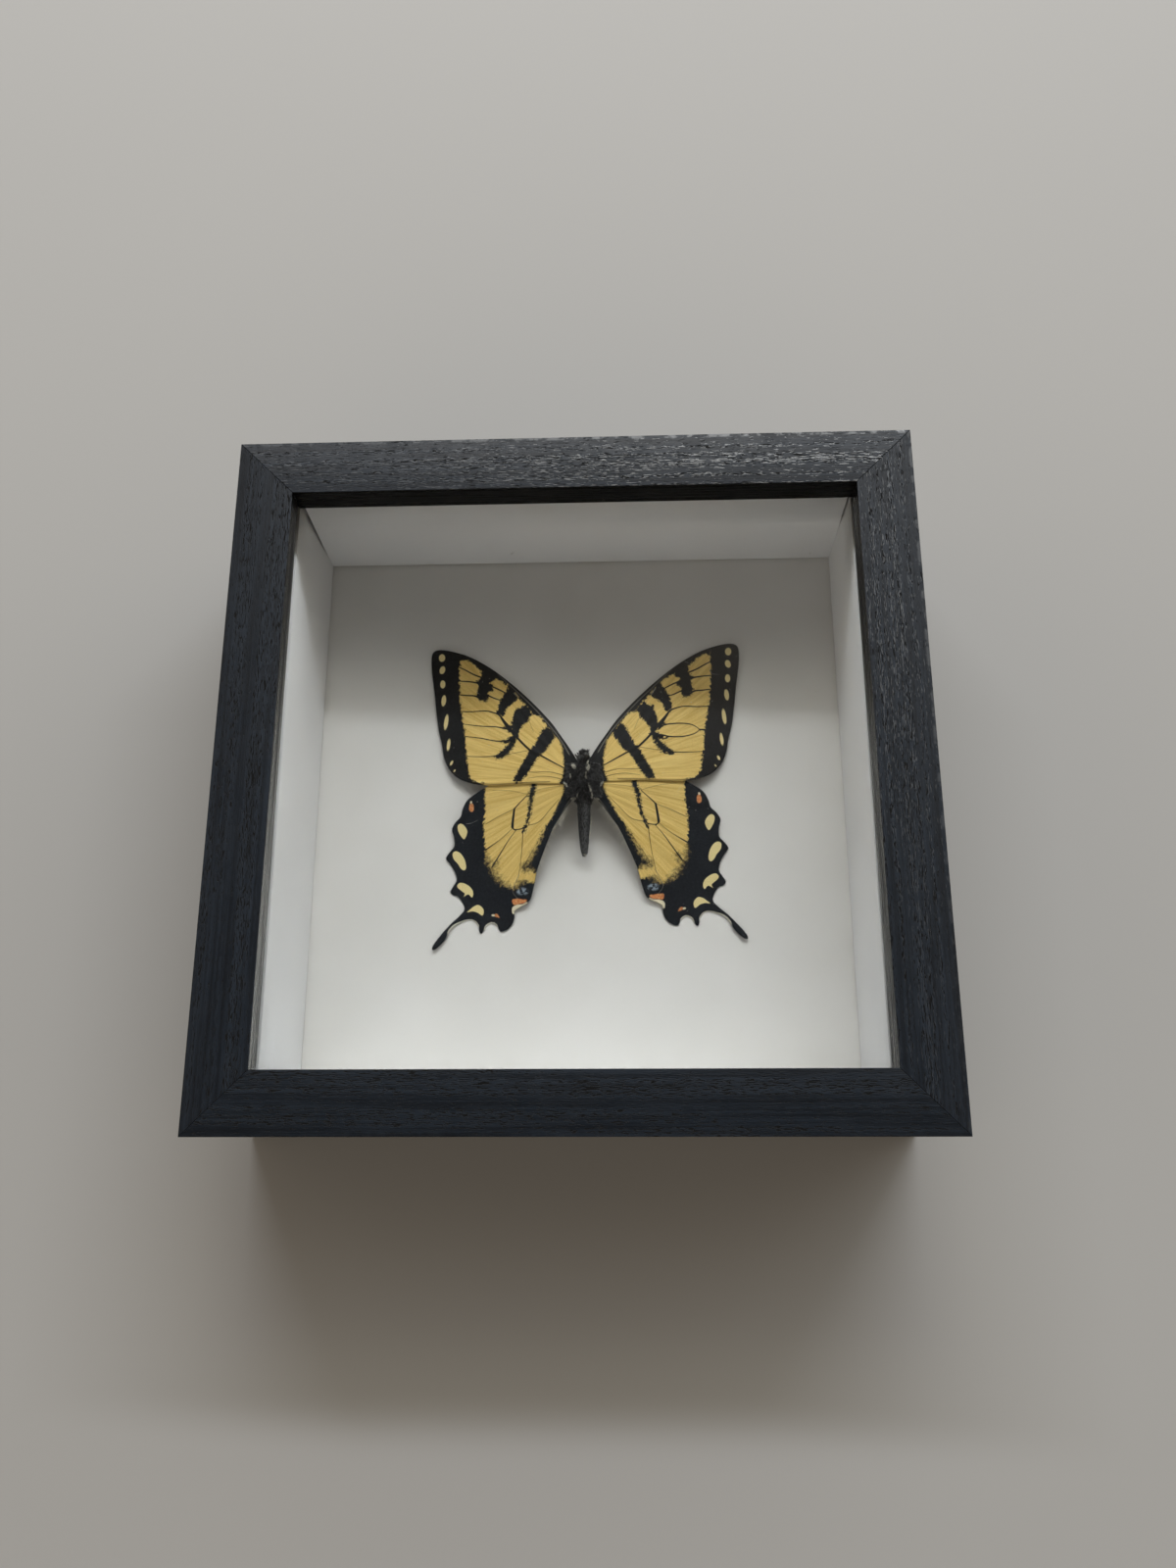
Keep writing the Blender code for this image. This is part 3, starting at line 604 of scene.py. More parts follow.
hindwing = {
    "outline": [
        (1.6, 0.4), (4.4, 1.2), (9.0, 2.6), (16.0, 3.4), (21.5, 2.8), (25.3, 0.6), (27.8, -0.6),
        (30.9, -2.6), (32.3, -5.0), (32.8, -6.9), (34.3, -8.4), (35.2, -10.2), (34.7, -12.2),
        (34.6, -14.6), (35.8, -16.2), (36.8, -17.8), (35.7, -19.4), (34.5, -21.4), (34.0, -23.6),
        (34.8, -25.1), (35.6, -26.6), (34.9, -27.6), (33.8, -27.9), (32.6, -29.4), (32.0, -31.4),
        (33.4, -33.2), (35.6, -35.2), (38.0, -37.9), (39.9, -40.4), (40.2, -41.6), (39.4, -41.5),
        (37.8, -40.1), (36.7, -38.6), (36.2, -37.0), (34.9, -35.5), (33.1, -34.6), (30.9, -34.0),
        (29.3, -34.4), (28.3, -35.7), (28.2, -37.0), (27.8, -37.8), (27.2, -37.3), (26.5, -35.7),
        (24.9, -35.0), (23.6, -35.7), (23.1, -37.0), (22.5, -37.5), (21.0, -37.0), (19.6, -35.5),
        (19.1, -33.8), (19.0, -32.4), (17.2, -31.3), (15.8, -30.7), (14.8, -29.5), (14.1, -27.3),
        (13.6, -25.3), (13.1, -23.0), (12.1, -20.3), (10.5, -16.5), (8.6, -12.4), (6.7, -9.6),
        (4.6, -6.6), (2.7, -4.6), (1.4, -3.4)],
    "cell": 0.27, "edgeHeight": 0.2, "rise": 6.7, "reach": 44.5, "lift": 0.32,
    "pleats": 0.06, "spread": 0.08,
    "margin": [
        (26.0, 0.3), (26.3, -2.1), (26.1, -4.4), (26.3, -6.8), (26.6, -9.7), (26.6, -12.6),
        (26.3, -15.4), (26.3, -17.7), (26.0, -19.4), (25.2, -21.1), (24.2, -23.1), (22.7, -24.9),
        (21.0, -26.0), (19.6, -26.7), (18.2, -26.2), (17.1, -25.4), (16.0, -25.1), (14.0, -25.4),
        (8, -26), (12, -44), (46, -46), (46, 4), (26, 5)],
    "front": [  # black band beside the body
        (4.5, -0.8), (5.5, -3.1), (6.8, -5.8), (8.4, -9.0), (10.0, -11.3), (11.8, -15.1),
        (13.1, -17.6), (14.4, -19.8), (15.6, -20.9), (16.4, -21.8), (15.6, -22.0), (14.5, -21.8),
        (13.7, -22.4), (12.8, -23.2), (11, -24), (5, -16),
        (0, -6), (1, 0), (3.2, 0.6)],
    "bars": [
        [(12.3, 1.5), (13.4, 1.5), (13.6, -0.6), (14.3, -3.1), (14.4, -5.5), (14.8, -7.8),
         (15.4, -9.8), (16.0, -10.9), (16.3, -12.3), (15.9, -12.4), (15.4, -11.3), (14.6, -9.5),
         (14.1, -7.5), (13.7, -5.2), (13.4, -3.4), (12.6, -1.2)]],
    "veins": [
        ([(14.9, -2.9), (16.0, -3.9), (17.4, -5.2), (18.4, -6.2)], 0.10, 0.17),
        ([(18.4, -6.2), (18.75, -8.6), (19.0, -10.8)], 0.26, 0.35),
        ([(19.0, -10.8), (18.7, -11.4), (18.1, -11.6), (16.5, -11.5), (15.9, -11.2)], 0.17, 0.13),
        ([(23.2, -14.4), (26.2, -16.2)], 0.05, 0.17),
        ([(18.2, -11.9), (20.4, -14.6), (22.5, -17.7), (24.6, -20.7)], 0.07, 0.18)],
    # fold lines: raised a little in the sheet and painted darker as shade
    "creases": [
        ([(14.5, -2.5), (11.0, -1.6), (6.0, -1.2)], 0.06, 0.04),
        ([(18.5, -6.2), (22.4, -7.7), (25.9, -9.4)], 0.06, 0.09),
        ([(19.0, -11.2), (22.1, -13.7), (26.0, -16.2)], 0.06, 0.10),
        ([(16.2, -11.9), (16.5, -15.4), (17.0, -19.6), (17.8, -23.8)], 0.15, 0.06),
        ([(15.4, -10.9), (12.0, -10.1), (9.3, -7.5), (6.6, -4.6)], 0.12, 0.07),
        ([(12.4, -15.1), (14.5, -18.2), (16.1, -21.0)], 0.06, 0.06),
        ([(15.0, -2.6), (19.0, -1.4), (24.0, -0.6)], 0.05, 0.05)],
    # painted highlight: pale grey streaks where the inner band's hairs catch the light
    "highlightLines": [
        ([(3.4, -4.6), (4.6, -6.2), (6.6, -9.3), (8.5, -12.2)], 0.14, 0.05),
        ([(18.0, -29.4), (19.4, -27.4), (18.6, -25.2), (17.6, -23.2)], 0.05, 0.07)],
    "spots": [],
    "lunules": [
        [(33.0, -8.8), (33.7, -9.4), (33.5, -10.8), (32.7, -12.3), (31.9, -13.0), (31.1, -11.4),
         (31.3, -10.3), (32.1, -9.2)],
        [(34.5, -16.1), (35.1, -16.7), (34.8, -18.1), (33.7, -19.4), (32.9, -20.7), (32.0, -21.2),
         (31.5, -20.4), (31.9, -18.4), (32.8, -16.9), (33.7, -16.2)],
        [(33.0, -24.4), (33.8, -24.9), (33.8, -25.6), (32.6, -26.7), (31.9, -27.3), (32.3, -28.2),
         (31.0, -27.5), (30.1, -28.4), (29.7, -27.4), (30.2, -26.0), (31.5, -24.9)],
        [(27.0, -32.2), (27.4, -31.1), (28.4, -30.4), (29.5, -30.7), (30.6, -31.5), (31.4, -32.2),
         (30.0, -32.0), (28.6, -32.4), (27.4, -33.2)]],
    "orange": [
        [(29.9, -3.6), (30.4, -4.0), (30.5, -5.3), (29.8, -5.9), (29.3, -5.3), (29.4, -4.0)],
        [(15.8, -29.6), (16.9, -29.5), (18.0, -29.3), (19.4, -29.4), (19.5, -30.3), (19.1, -30.8),
         (18.0, -30.7), (16.8, -30.5), (16.0, -30.2)],
        [(22.9, -33.9), (23.6, -32.9), (24.2, -32.9), (24.1, -33.5), (23.4, -33.8)]],
    "pale": [
        [(29.7, -3.1), (30.1, -3.0), (30.3, -3.6), (29.8, -3.7)],
        [(15.7, -30.2), (16.8, -30.7), (18.2, -30.8), (19.3, -31.2), (19.7, -32.0), (19.4, -33.2),
         (18.4, -32.6), (17.2, -31.7), (15.6, -31.0)],
        [(24.2, -33.0), (24.9, -33.0), (25.0, -33.4), (24.2, -33.5)]],
    "eyespot": [[(15.4, -27.6), (15.8, -27.0), (16.8, -26.7), (17.8, -26.9), (18.3, -27.6), (17.9, -28.1),
                 (16.7, -28.3), (15.7, -28.1)]],
    "powder": [  # where yellow and black scales mingle: centre, radius and strength
        (22.4, -22.6, 6.0, 1.0), (16.0, -21.2, 3.2, 0.9), (17.6, -25.9, 2.8, 0.9), (11.5, -14.5, 4.5, 0.45),
        (14.0, -18.4, 4.0, 0.65), (14.0, -3.5, 5.0, 0.22), (25.4, -19.5, 3.5, 0.8)],
}
sides = {  # the two forewings differ in the veins behind the cell
    "left": {"mirror": -1, "forewingShift": -0.3, "hindwingTurn": math.radians(-1.65), "veins": [
        ([(32.5, 18.1), (27.9, 17.2), (23.8, 16.7), (21.4, 16.1), (19.4, 15.4)], 0.10, 0.24),
        ([(32.1, 14.5), (27.8, 13.7), (23.7, 12.6), (21.0, 12.4), (18.5, 12.9)], 0.10, 0.24)]},
    "right": {"mirror": 1, "forewingShift": 0.3, "hindwingTurn": math.radians(1.65), "veins": [
        ([(19.8, 14.6), (20.4, 15.3), (21.6, 16.0), (25.2, 16.5), (28.2, 16.4), (29.8, 15.7),
          (30.7, 14.9)], 0.26, 0.10),
        ([(30.7, 14.9), (29.4, 13.8), (27.2, 13.0), (24.7, 12.6), (22.4, 12.6), (20.7, 12.9),
          (18.5, 12.9)], 0.10, 0.26),
        ([(30.6, 15.0), (32.0, 14.9)], 0.18, 0.26)]},
}


wingThick = 0.12
tailStart = 46.0  # from here outwards the tails bend up
tailRise = 0.06
farOff = 6.0  # more than any marking's edge needs


def curveThrough(points, closed, steps=6):
    line = np.array(points, float)
    if closed:
        a, b, c, d = (np.roll(line, shift, axis=0) for shift in (1, 0, -1, -2))
    else:
        ends = np.vstack([2 * line[0] - line[1], line, 2 * line[-1] - line[-2]])
        a, b, c, d = ends[:-3], ends[1:-2], ends[2:-1], ends[3:]
    slope, bend, twist = c - a, 2 * a - 5 * b + 4 * c - d, 3 * b - a - 3 * c + d
    parts = [0.5 * (2 * b + slope * t + bend * t * t + twist * t ** 3) for t in np.arange(steps) / steps]
    made = np.stack(parts, axis=1).reshape(-1, 2)
    return made if closed else np.vstack([made, line[-1]])


def toSegment(points, a, b):
    along = b - a
    share = np.clip((points - a) @ along / max(along @ along, 1e-9), 0, 1)
    foot = a + share[:, None] * along
    return np.hypot(*(points - foot).T), share, foot


def loopDistance(points, loop):  # negative inside, with the nearest point of the loop
    best = np.full(len(points), 1e9)
    nearest = points.copy()
    crossings = np.zeros(len(points), int)
    for a, b in zip(loop, np.roll(loop, -1, axis=0)):
        away, _, foot = toSegment(points, a, b)
        closer = away < best
        best[closer], nearest[closer] = away[closer], foot[closer]
        spans = (a[1] > points[:, 1]) != (b[1] > points[:, 1])
        cut = a[0] + (points[:, 1] - a[1]) / (b[1] - a[1] if b[1] != a[1] else 1e-9) * (b[0] - a[0])
        crossings += spans & (cut > points[:, 0])
    return np.where(crossings % 2 == 1, -best, best), nearest


def areaField(points, shapes):
    best = np.full(len(points), farOff)
    for shape in shapes:
        best = np.minimum(best, loopDistance(points, curveThrough(shape, True, 4))[0])
    return best


def strokeSides(points, strokes):  # gap to the nearest stroke, signed distance from its middle, half width
    best, side = np.full(len(points), farOff), np.full(len(points), farOff)
    width = np.full(len(points), 0.1)
    for line, startWidth, endWidth in strokes:
        curve = curveThrough(line, False, 5)
        widths = np.linspace(startWidth, endWidth, len(curve))
        for i in range(len(curve) - 1):
            a, b = curve[i], curve[i + 1]
            away, share, _ = toSegment(points, a, b)
            here = widths[i] + (widths[i + 1] - widths[i]) * share
            closer = away - here < best
            turn = np.sign((b[0] - a[0]) * (points[:, 1] - a[1]) - (b[1] - a[1]) * (points[:, 0] - a[0]))
            best = np.where(closer, away - here, best)
            side = np.where(closer, away * turn, side)
            width = np.where(closer, here, width)
    return best, side, width


def strokeField(points, strokes):
    return strokeSides(points, strokes)[0]


def spotField(points, spots):
    best = np.full(len(points), farOff)
    for x, y, halfWidth, halfHeight, lean in spots:
        along, across = math.cos(lean), math.sin(lean)
        turned = (points - (x, y)) @ np.array([[along, -across], [across, along]])
        size = np.hypot(turned[:, 0] / halfWidth, turned[:, 1] / halfHeight)
        best = np.minimum(best, (size - 1) * min(halfWidth, halfHeight))
    return best


def wingHeight(points, wing):
    distance = np.hypot(*points.T)
    share = np.minimum(1, distance / wing["reach"])
    slope = wing["rise"] * (1 - share * share * (3 - 2 * share))
    lift = wing["lift"] * np.exp(-(points[:, 1] / 4) ** 2)  # keeps the hindwing close under the forewing
    tail = tailRise * np.maximum(0, distance - tailStart)
    return wing["edgeHeight"] + slope + lift + tail


def placed(points, heights, side, turn, shift):  # from the wing's own plane into the box
    x = points[:, 0] * math.cos(turn) - points[:, 1] * math.sin(turn)
    y = points[:, 0] * math.sin(turn) + points[:, 1] * math.cos(turn) + shift
    return np.column_stack([side * x + wingRoot[0], y + wingRoot[1], boardTop + heights])


def wingSheet(name, wing, side, turn, shift, extraVeins):
    outline = curveThrough(wing["outline"], True, 6)
    low, high = outline.min(axis=0) - 0.6, outline.max(axis=0) + 0.6
    counts = np.ceil((high - low) / wing["cell"]).astype(int)
    bm = bmesh.new()
    bmesh.ops.create_grid(bm, x_segments=int(counts[0]), y_segments=int(counts[1]), size=0.5)
    bmesh.ops.scale(bm, verts=bm.verts[:], vec=(high[0] - low[0], high[1] - low[1], 1))
    bmesh.ops.translate(bm, verts=bm.verts[:], vec=((low[0] + high[0]) / 2, (low[1] + high[1]) / 2, 0))
    points = np.array([v.co.xy for v in bm.verts])
    depth, nearest = loopDistance(points, outline)
    near = np.abs(depth) < 0.5 * wing["cell"]
    for i in np.flatnonzero(near):  # pull the closest points onto the outline
        bm.verts.ensure_lookup_table()
        bm.verts[i].co.xy = nearest[i]
    middles = np.array([face.calc_center_median().xy for face in bm.faces])
    outside = loopDistance(middles, outline)[0] > 0
    bmesh.ops.delete(bm, geom=[face for face, out in zip(bm.faces[:], outside) if out], context="FACES")
    rim = [v for v in bm.verts if v.is_boundary]
    for vert, foot in zip(rim, loopDistance(np.array([v.co.xy for v in rim]), outline)[1]):
        vert.co.xy = foot
    points = np.array([v.co.xy for v in bm.verts])

    strokes = {"vein": strokeSides(points, wing["veins"] + extraVeins),
               "creaseAndShade": strokeSides(points, wing["creases"]), "grey": strokeSides(points, wing["highlightLines"])}
    veins, creases = strokes["vein"][0], strokes["creaseAndShade"][0]
    angle = np.arctan2(points[:, 1], points[:, 0])
    reach = np.hypot(*points.T)
    ridge = np.minimum(np.maximum(veins, 0), np.maximum(creases, 0))
    relief = 0.07 * np.exp(-(ridge / 0.35) ** 2)
    wave = np.sin(angle * 34 + 0.9 * np.sin(reach * 0.25))  # fine pleats that fan out from the root
    wave = wave + 0.6 * np.sin(angle * 57 + 1.3 * np.sin(reach * 0.17 + 2))
    pleat = wing["pleats"] * wave * np.clip(reach / 12, 0, 1) * np.clip((44 - reach) / 16, 0.15, 1)
    heights = wingHeight(points, wing) + relief + pleat
    for vert, place in zip(bm.verts, placed(points, heights, side, turn, shift) * mm):
        vert.co = place
    bmesh.ops.recalc_face_normals(bm, faces=bm.faces[:])
    if sum(face.normal.z for face in bm.faces) < 0:
        bmesh.ops.reverse_faces(bm, faces=bm.faces[:])
    mesh = toMesh(name, bm)

    powder = np.zeros(len(points))
    for x, y, radius, strength in wing["powder"]:
        near = np.clip(1.25 - np.hypot(points[:, 0] - x, points[:, 1] - y) / radius, 0, 1)
        powder = np.maximum(powder, strength * near)
    border, bars = areaField(points, [wing["margin"], wing["front"]]), areaField(points, wing["bars"])
    fields = {
        "black": np.minimum(border, bars - wing["spread"]),
        "spot": np.minimum(spotField(points, wing["spots"]), areaField(points, wing["lunules"])),
        "orange": areaField(points, wing["orange"]),
        "pale": areaField(points, wing["pale"]),
        "blue": areaField(points, wing["eyespot"]),
        "powder": powder,
    }
    for label, (gap, middle, width) in strokes.items():
        fields.update({label: gap, label + "Side": middle, label + "Width": width})
    for label, values in fields.items():
        mesh.attributes.new(label, "FLOAT", "POINT").data.foreach_set("value", values.astype(float))
    flow = np.column_stack([angle * 30 * side, reach, np.zeros(len(points))])
    mesh.attributes.new("flow", "FLOAT_VECTOR", "POINT").data.foreach_set("vector", flow.ravel())
    return mesh


wingColours = {
    # the crease colour is painted shade along the folds
    "yellowPale": (0.90, 0.665, 0.235), "yellowDeep": (0.68, 0.445, 0.115), "creaseAndShade": (0.13, 0.07, 0.022),
    "gloss": 0.2,
    "black": (0.0055, 0.0055, 0.0060), "blackSheen": (0.0140, 0.0145, 0.0165),
    "hindBlack": (0.0060, 0.0075, 0.0110), "hindSheen": (0.0150, 0.0190, 0.0250),
    # the grey colour is a painted highlight on vein ridges and hair
    "spot": (0.84, 0.70, 0.34), "pale": (0.82, 0.74, 0.53), "grey": (0.21, 0.195, 0.165),
    "orange": (0.62, 0.20, 0.065), "orangePale": (0.74, 0.38, 0.16),
    "blue": (0.30, 0.36, 0.42), "blueDark": (0.016, 0.022, 0.032),
}


def wingScales(name, black, sheen):
    made, tree, shader = newMaterial(name, wingColours["gloss"])
    paint = wingColours

    def edged(distance, softness, jitter):
        return useGroup(tree, scaleEdge, Distance=distance, Softness=softness, Jitter=jitter)["Mask"]

    def areaMask(label, softness, jitter):
        return edged(attribute(tree, label), softness, jitter)

    def lineMask(label, softness, jitter):  # the signed distance stays sharp between the mesh's points
        middle = calc(tree, "ABSOLUTE", attribute(tree, label + "Side"))
        narrow = minus(tree, middle, attribute(tree, label + "Width"))
        near = minus(tree, attribute(tree, label), 0.3)
        return edged(calc(tree, "MAXIMUM", narrow, near), softness, jitter)

    def mottled(scale, low, high, first, second):
        return mixColour(tree, fade(tree, noise(tree, where, scale), low, high), paint[first], paint[second])

    where = objectCoordinates(tree)
    flow = attribute(tree, "flow", "Vector")
    streaks = noise(tree, stretched(tree, flow, (1.5, 0.07, 1)), 1.0, 4.0, 0.6)
    rows = noise(tree, stretched(tree, flow, (6.0, 1.2, 1)), 1.0, 2.0)
    scales = noise(tree, where, 6500.0, 2.0)
    texture = plus(tree, times(tree, streaks, 0.6), times(tree, scales, 0.4))
    yellow = mixColour(tree, fade(tree, texture, 0.36, 0.62), paint["yellowDeep"], paint["yellowPale"])
    # painted shade: dark brown along the folds and beside the forewing's hind edge, where one wing shades the
    # other
    yellow = mixColour(tree, times(tree, lineMask("creaseAndShade", 0.10, 0.06), 0.85), yellow, paint["creaseAndShade"])
    sooty = mixColour(tree, fade(tree, rows, 0.35, 0.7), black, sheen)

    powder = attribute(tree, "powder")  # black scales thin out over a wider edge here, and along the veins
    sooted = plus(tree, attribute(tree, "vein"), times(tree, minus(tree, 1.0, powder), 1.5))
    edge = calc(tree, "MINIMUM", attribute(tree, "black"), sooted)
    edge = minus(tree, edge, times(tree, powder, 0.7))
    border = edged(edge, fade(tree, powder, 0.0, 1.0, 0.08, 1.7), fade(tree, powder, 0.0, 1.0, 1.9, 3.8))
    wing = mixColour(tree, calc(tree, "MAXIMUM", border, lineMask("vein", 0.04, 0.05)), yellow, sooty)

    # painted highlight: pale grey lines where the costal vein and the hindwing's inner band catch the light
    wing = mixColour(tree, times(tree, lineMask("grey", 0.08, 0.05), 0.75), wing, paint["grey"])
    wing = mixColour(tree, areaMask("spot", 0.08, 0.12), wing, paint["spot"])
    wing = mixColour(tree, areaMask("pale", 0.10, 0.12), wing, paint["pale"])
    rust = mottled(2600.0, 0.4, 0.65, "orange", "orangePale")
    wing = mixColour(tree, areaMask("orange", 0.14, 0.35), wing, rust)
    bloom = mottled(1100.0, 0.38, 0.56, "blueDark", "blue")
    wing = mixColour(tree, areaMask("blue", 0.4, 0.5), wing, bloom)
    surface(tree, shader, wing, fade(tree, scales, 0.2, 0.8, 0.52, 0.78), bump(tree, texture, 0.5, 0.00012))
    return made


forewingScales = wingScales("forewingScales", wingColours["black"], wingColours["blackSheen"])
hindwingScales = wingScales("hindwingScales", wingColours["hindBlack"], wingColours["hindSheen"])
for word, side in sides.items():
    for kind, wing, turn, shift, material in (
        ("forewing", forewing, 0.0, side["forewingShift"], forewingScales),
        ("hindwing", hindwing, side["hindwingTurn"], 0.0, hindwingScales),
    ):
        name = f"{kind}_{word}_sheet"
        extra = side["veins"] if kind == "forewing" else []
        mesh = wingSheet(name, wing, side["mirror"], turn, shift, extra)
        piece = putPiece(name, mesh, [material], [f"{kind}_{word}"])
        thin = piece.modifiers.new("thickness", "SOLIDIFY")
        thin.thickness = wingThick * mm
        thin.offset = 0.0
        print(name, "done")


# Body: head, thorax and abdomen as one skin, with eyes and fur

body = {
    "sections": [  # along, half width, half height, height of the middle over the board
        (7.9, 0.0, 0.0, 6.8), (7.75, 0.5, 0.6, 6.8), (7.2, 1.1, 1.1, 6.8), (6.5, 1.45, 1.45, 6.8),
        (5.8, 1.5, 1.5, 6.8), (5.1, 1.25, 1.35, 6.7), (4.6, 1.15, 1.25, 6.6), (3.9, 1.5, 1.7, 6.6),
        (2.9, 2.1, 2.3, 6.6), (1.4, 2.5, 2.6, 6.6), (-0.4, 2.55, 2.7, 6.5), (-2.2, 2.35, 2.6, 6.4),
        (-3.8, 1.95, 2.2, 6.2),
        (-5.0, 1.65, 1.9, 5.9), (-6.0, 1.55, 1.75, 5.6), (-7.6, 1.55, 1.75, 5.2), (-9.8, 1.45, 1.65, 4.7),
        (-12.2, 1.3, 1.5, 4.1), (-14.4, 1.12, 1.3, 3.6), (-16.4, 0.9, 1.05, 3.1), (-17.7, 0.7, 0.8, 2.8),
        (-18.5, 0.4, 0.45, 2.6), (-18.8, 0.0, 0.0, 2.6)],
    "around": 48, "rings": 120, "abdomenStart": -5.6, "ringSpacing": 1.75, "ringDepth": 0.05,
    "eye": 0.78, "eyePlaces": [(-1.15, 6.3, 6.9), (0.62, 6.7, 7.75)], "seed": 11,
    "fur": 8600, "frontShare": 0.62, "greyShare": 0.32, "clumps": 997, "clumpSize": 0.7,
    "baseFur": 2200, "tuft": 330, "spikes": 13, "vee": 160, "creamHairs": 950,
    "skin": (0.012, 0.012, 0.013), "skinSheen": (0.060, 0.060, 0.062),
    "eyeGrey": (0.115, 0.110, 0.105), "eyeDark": (0.030, 0.028, 0.026),
    "furDark": (0.009, 0.009, 0.010), "furGrey": (0.175, 0.175, 0.178), "furCream": (0.84, 0.80, 0.66),
    "creamTrails": [  # points, widths at the ends, share of the hairs, height over the board
        ([(1.35, 3.5), (0.95, 2.4), (0.55, 1.2), (0.75, 0.2)], 0.42, 0.12, 0.30, 9.0),
        ([(0.75, 0.2), (1.2, -1.1), (1.7, -2.4), (2.0, -3.2)], 0.12, 0.10, 0.18, 8.7),
        ([(2.0, -3.2), (2.2, -4.0), (2.1, -4.9)], 0.10, 0.12, 0.08, 7.7),
        ([(-2.7, 4.0), (-2.3, 3.4)], 0.40, 0.30, 0.12, 8.0),
        ([(1.3, 5.0), (1.0, 4.4)], 0.12, 0.12, 0.03, 8.2),
        ([(-5.1, -0.6), (-4.6, -1.0), (-4.3, -1.6)], 0.20, 0.06, 0.07, 7.6),
        ([(5.0, -0.5), (4.6, -0.9), (4.4, -1.4)], 0.22, 0.06, 0.09, 7.6),
        ([(-3.5, 1.6), (-3.4, 0.6)], 0.06, 0.06, 0.02, 8.0),
        ([(-1.4, -3.2), (-1.7, -4.4)], 0.08, 0.08, 0.03, 7.9),
        ([(1.95, -9.0), (1.75, -12.0), (1.35, -15.2)], 0.05, 0.05, 0.04, 5.2),
        ([(-0.1, -18.5), (0.4, -18.7)], 0.15, 0.15, 0.04, 2.9)],
}
sections = np.array(body["sections"])[::-1]


def bodyAt(along, angle):  # surface points and outward directions
    halfWidth, halfHeight, middle = (np.interp(along, sections[:, 0], sections[:, k]) for k in (1, 2, 3))
    behind = along - body["abdomenStart"]
    rings = np.abs(np.sin(behind * math.pi / body["ringSpacing"])) ** 0.4
    swell = 1 - body["ringDepth"] * (1 - np.where(behind < 0, rings, 1.0))
    x = halfWidth * swell * np.cos(angle)
    z = middle + halfHeight * swell * np.sin(angle)
    points = np.column_stack([wingRoot[0] + x, wingRoot[1] + along, boardTop + z])
    slope = (np.interp(along + 0.2, sections[:, 0], sections[:, 1])
             - np.interp(along - 0.2, sections[:, 0], sections[:, 1])) / 0.4
    outward = np.column_stack([np.cos(angle), -slope, np.sin(angle)])
    return points, unit(outward)


def bodySkin():
    bm = bmesh.new()
    bmesh.ops.create_uvsphere(bm, u_segments=body["around"], v_segments=body["rings"], radius=1.0)
    front, tip = body["sections"][0][0], body["sections"][-1][0]
    for vert in bm.verts:
        share = math.acos(max(-1.0, min(1.0, vert.co.z))) / math.pi
        along = front + (tip - front) * share
        vert.co = Vector(bodyAt(np.array([along]), np.array([math.atan2(vert.co.y, vert.co.x)]))[0][0] * mm)
    bmesh.ops.smooth_vert(bm, verts=bm.verts[:], factor=0.3,
                          use_axis_x=True, use_axis_y=True, use_axis_z=True)
    for x, y, z in body["eyePlaces"]:  # the head is turned a little
        place = Matrix.Translation(Vector((wingRoot[0] + x, wingRoot[1] + y, boardTop + z)) * mm)
        grown = bmesh.ops.create_icosphere(bm, subdivisions=3, radius=body["eye"] * mm, matrix=place)
        for vert in grown["verts"]:
            for face in vert.link_faces:
                face.material_index = 1
    bmesh.ops.recalc_face_normals(bm, faces=bm.faces[:])
    return toMesh("butterfly_skin", bm)


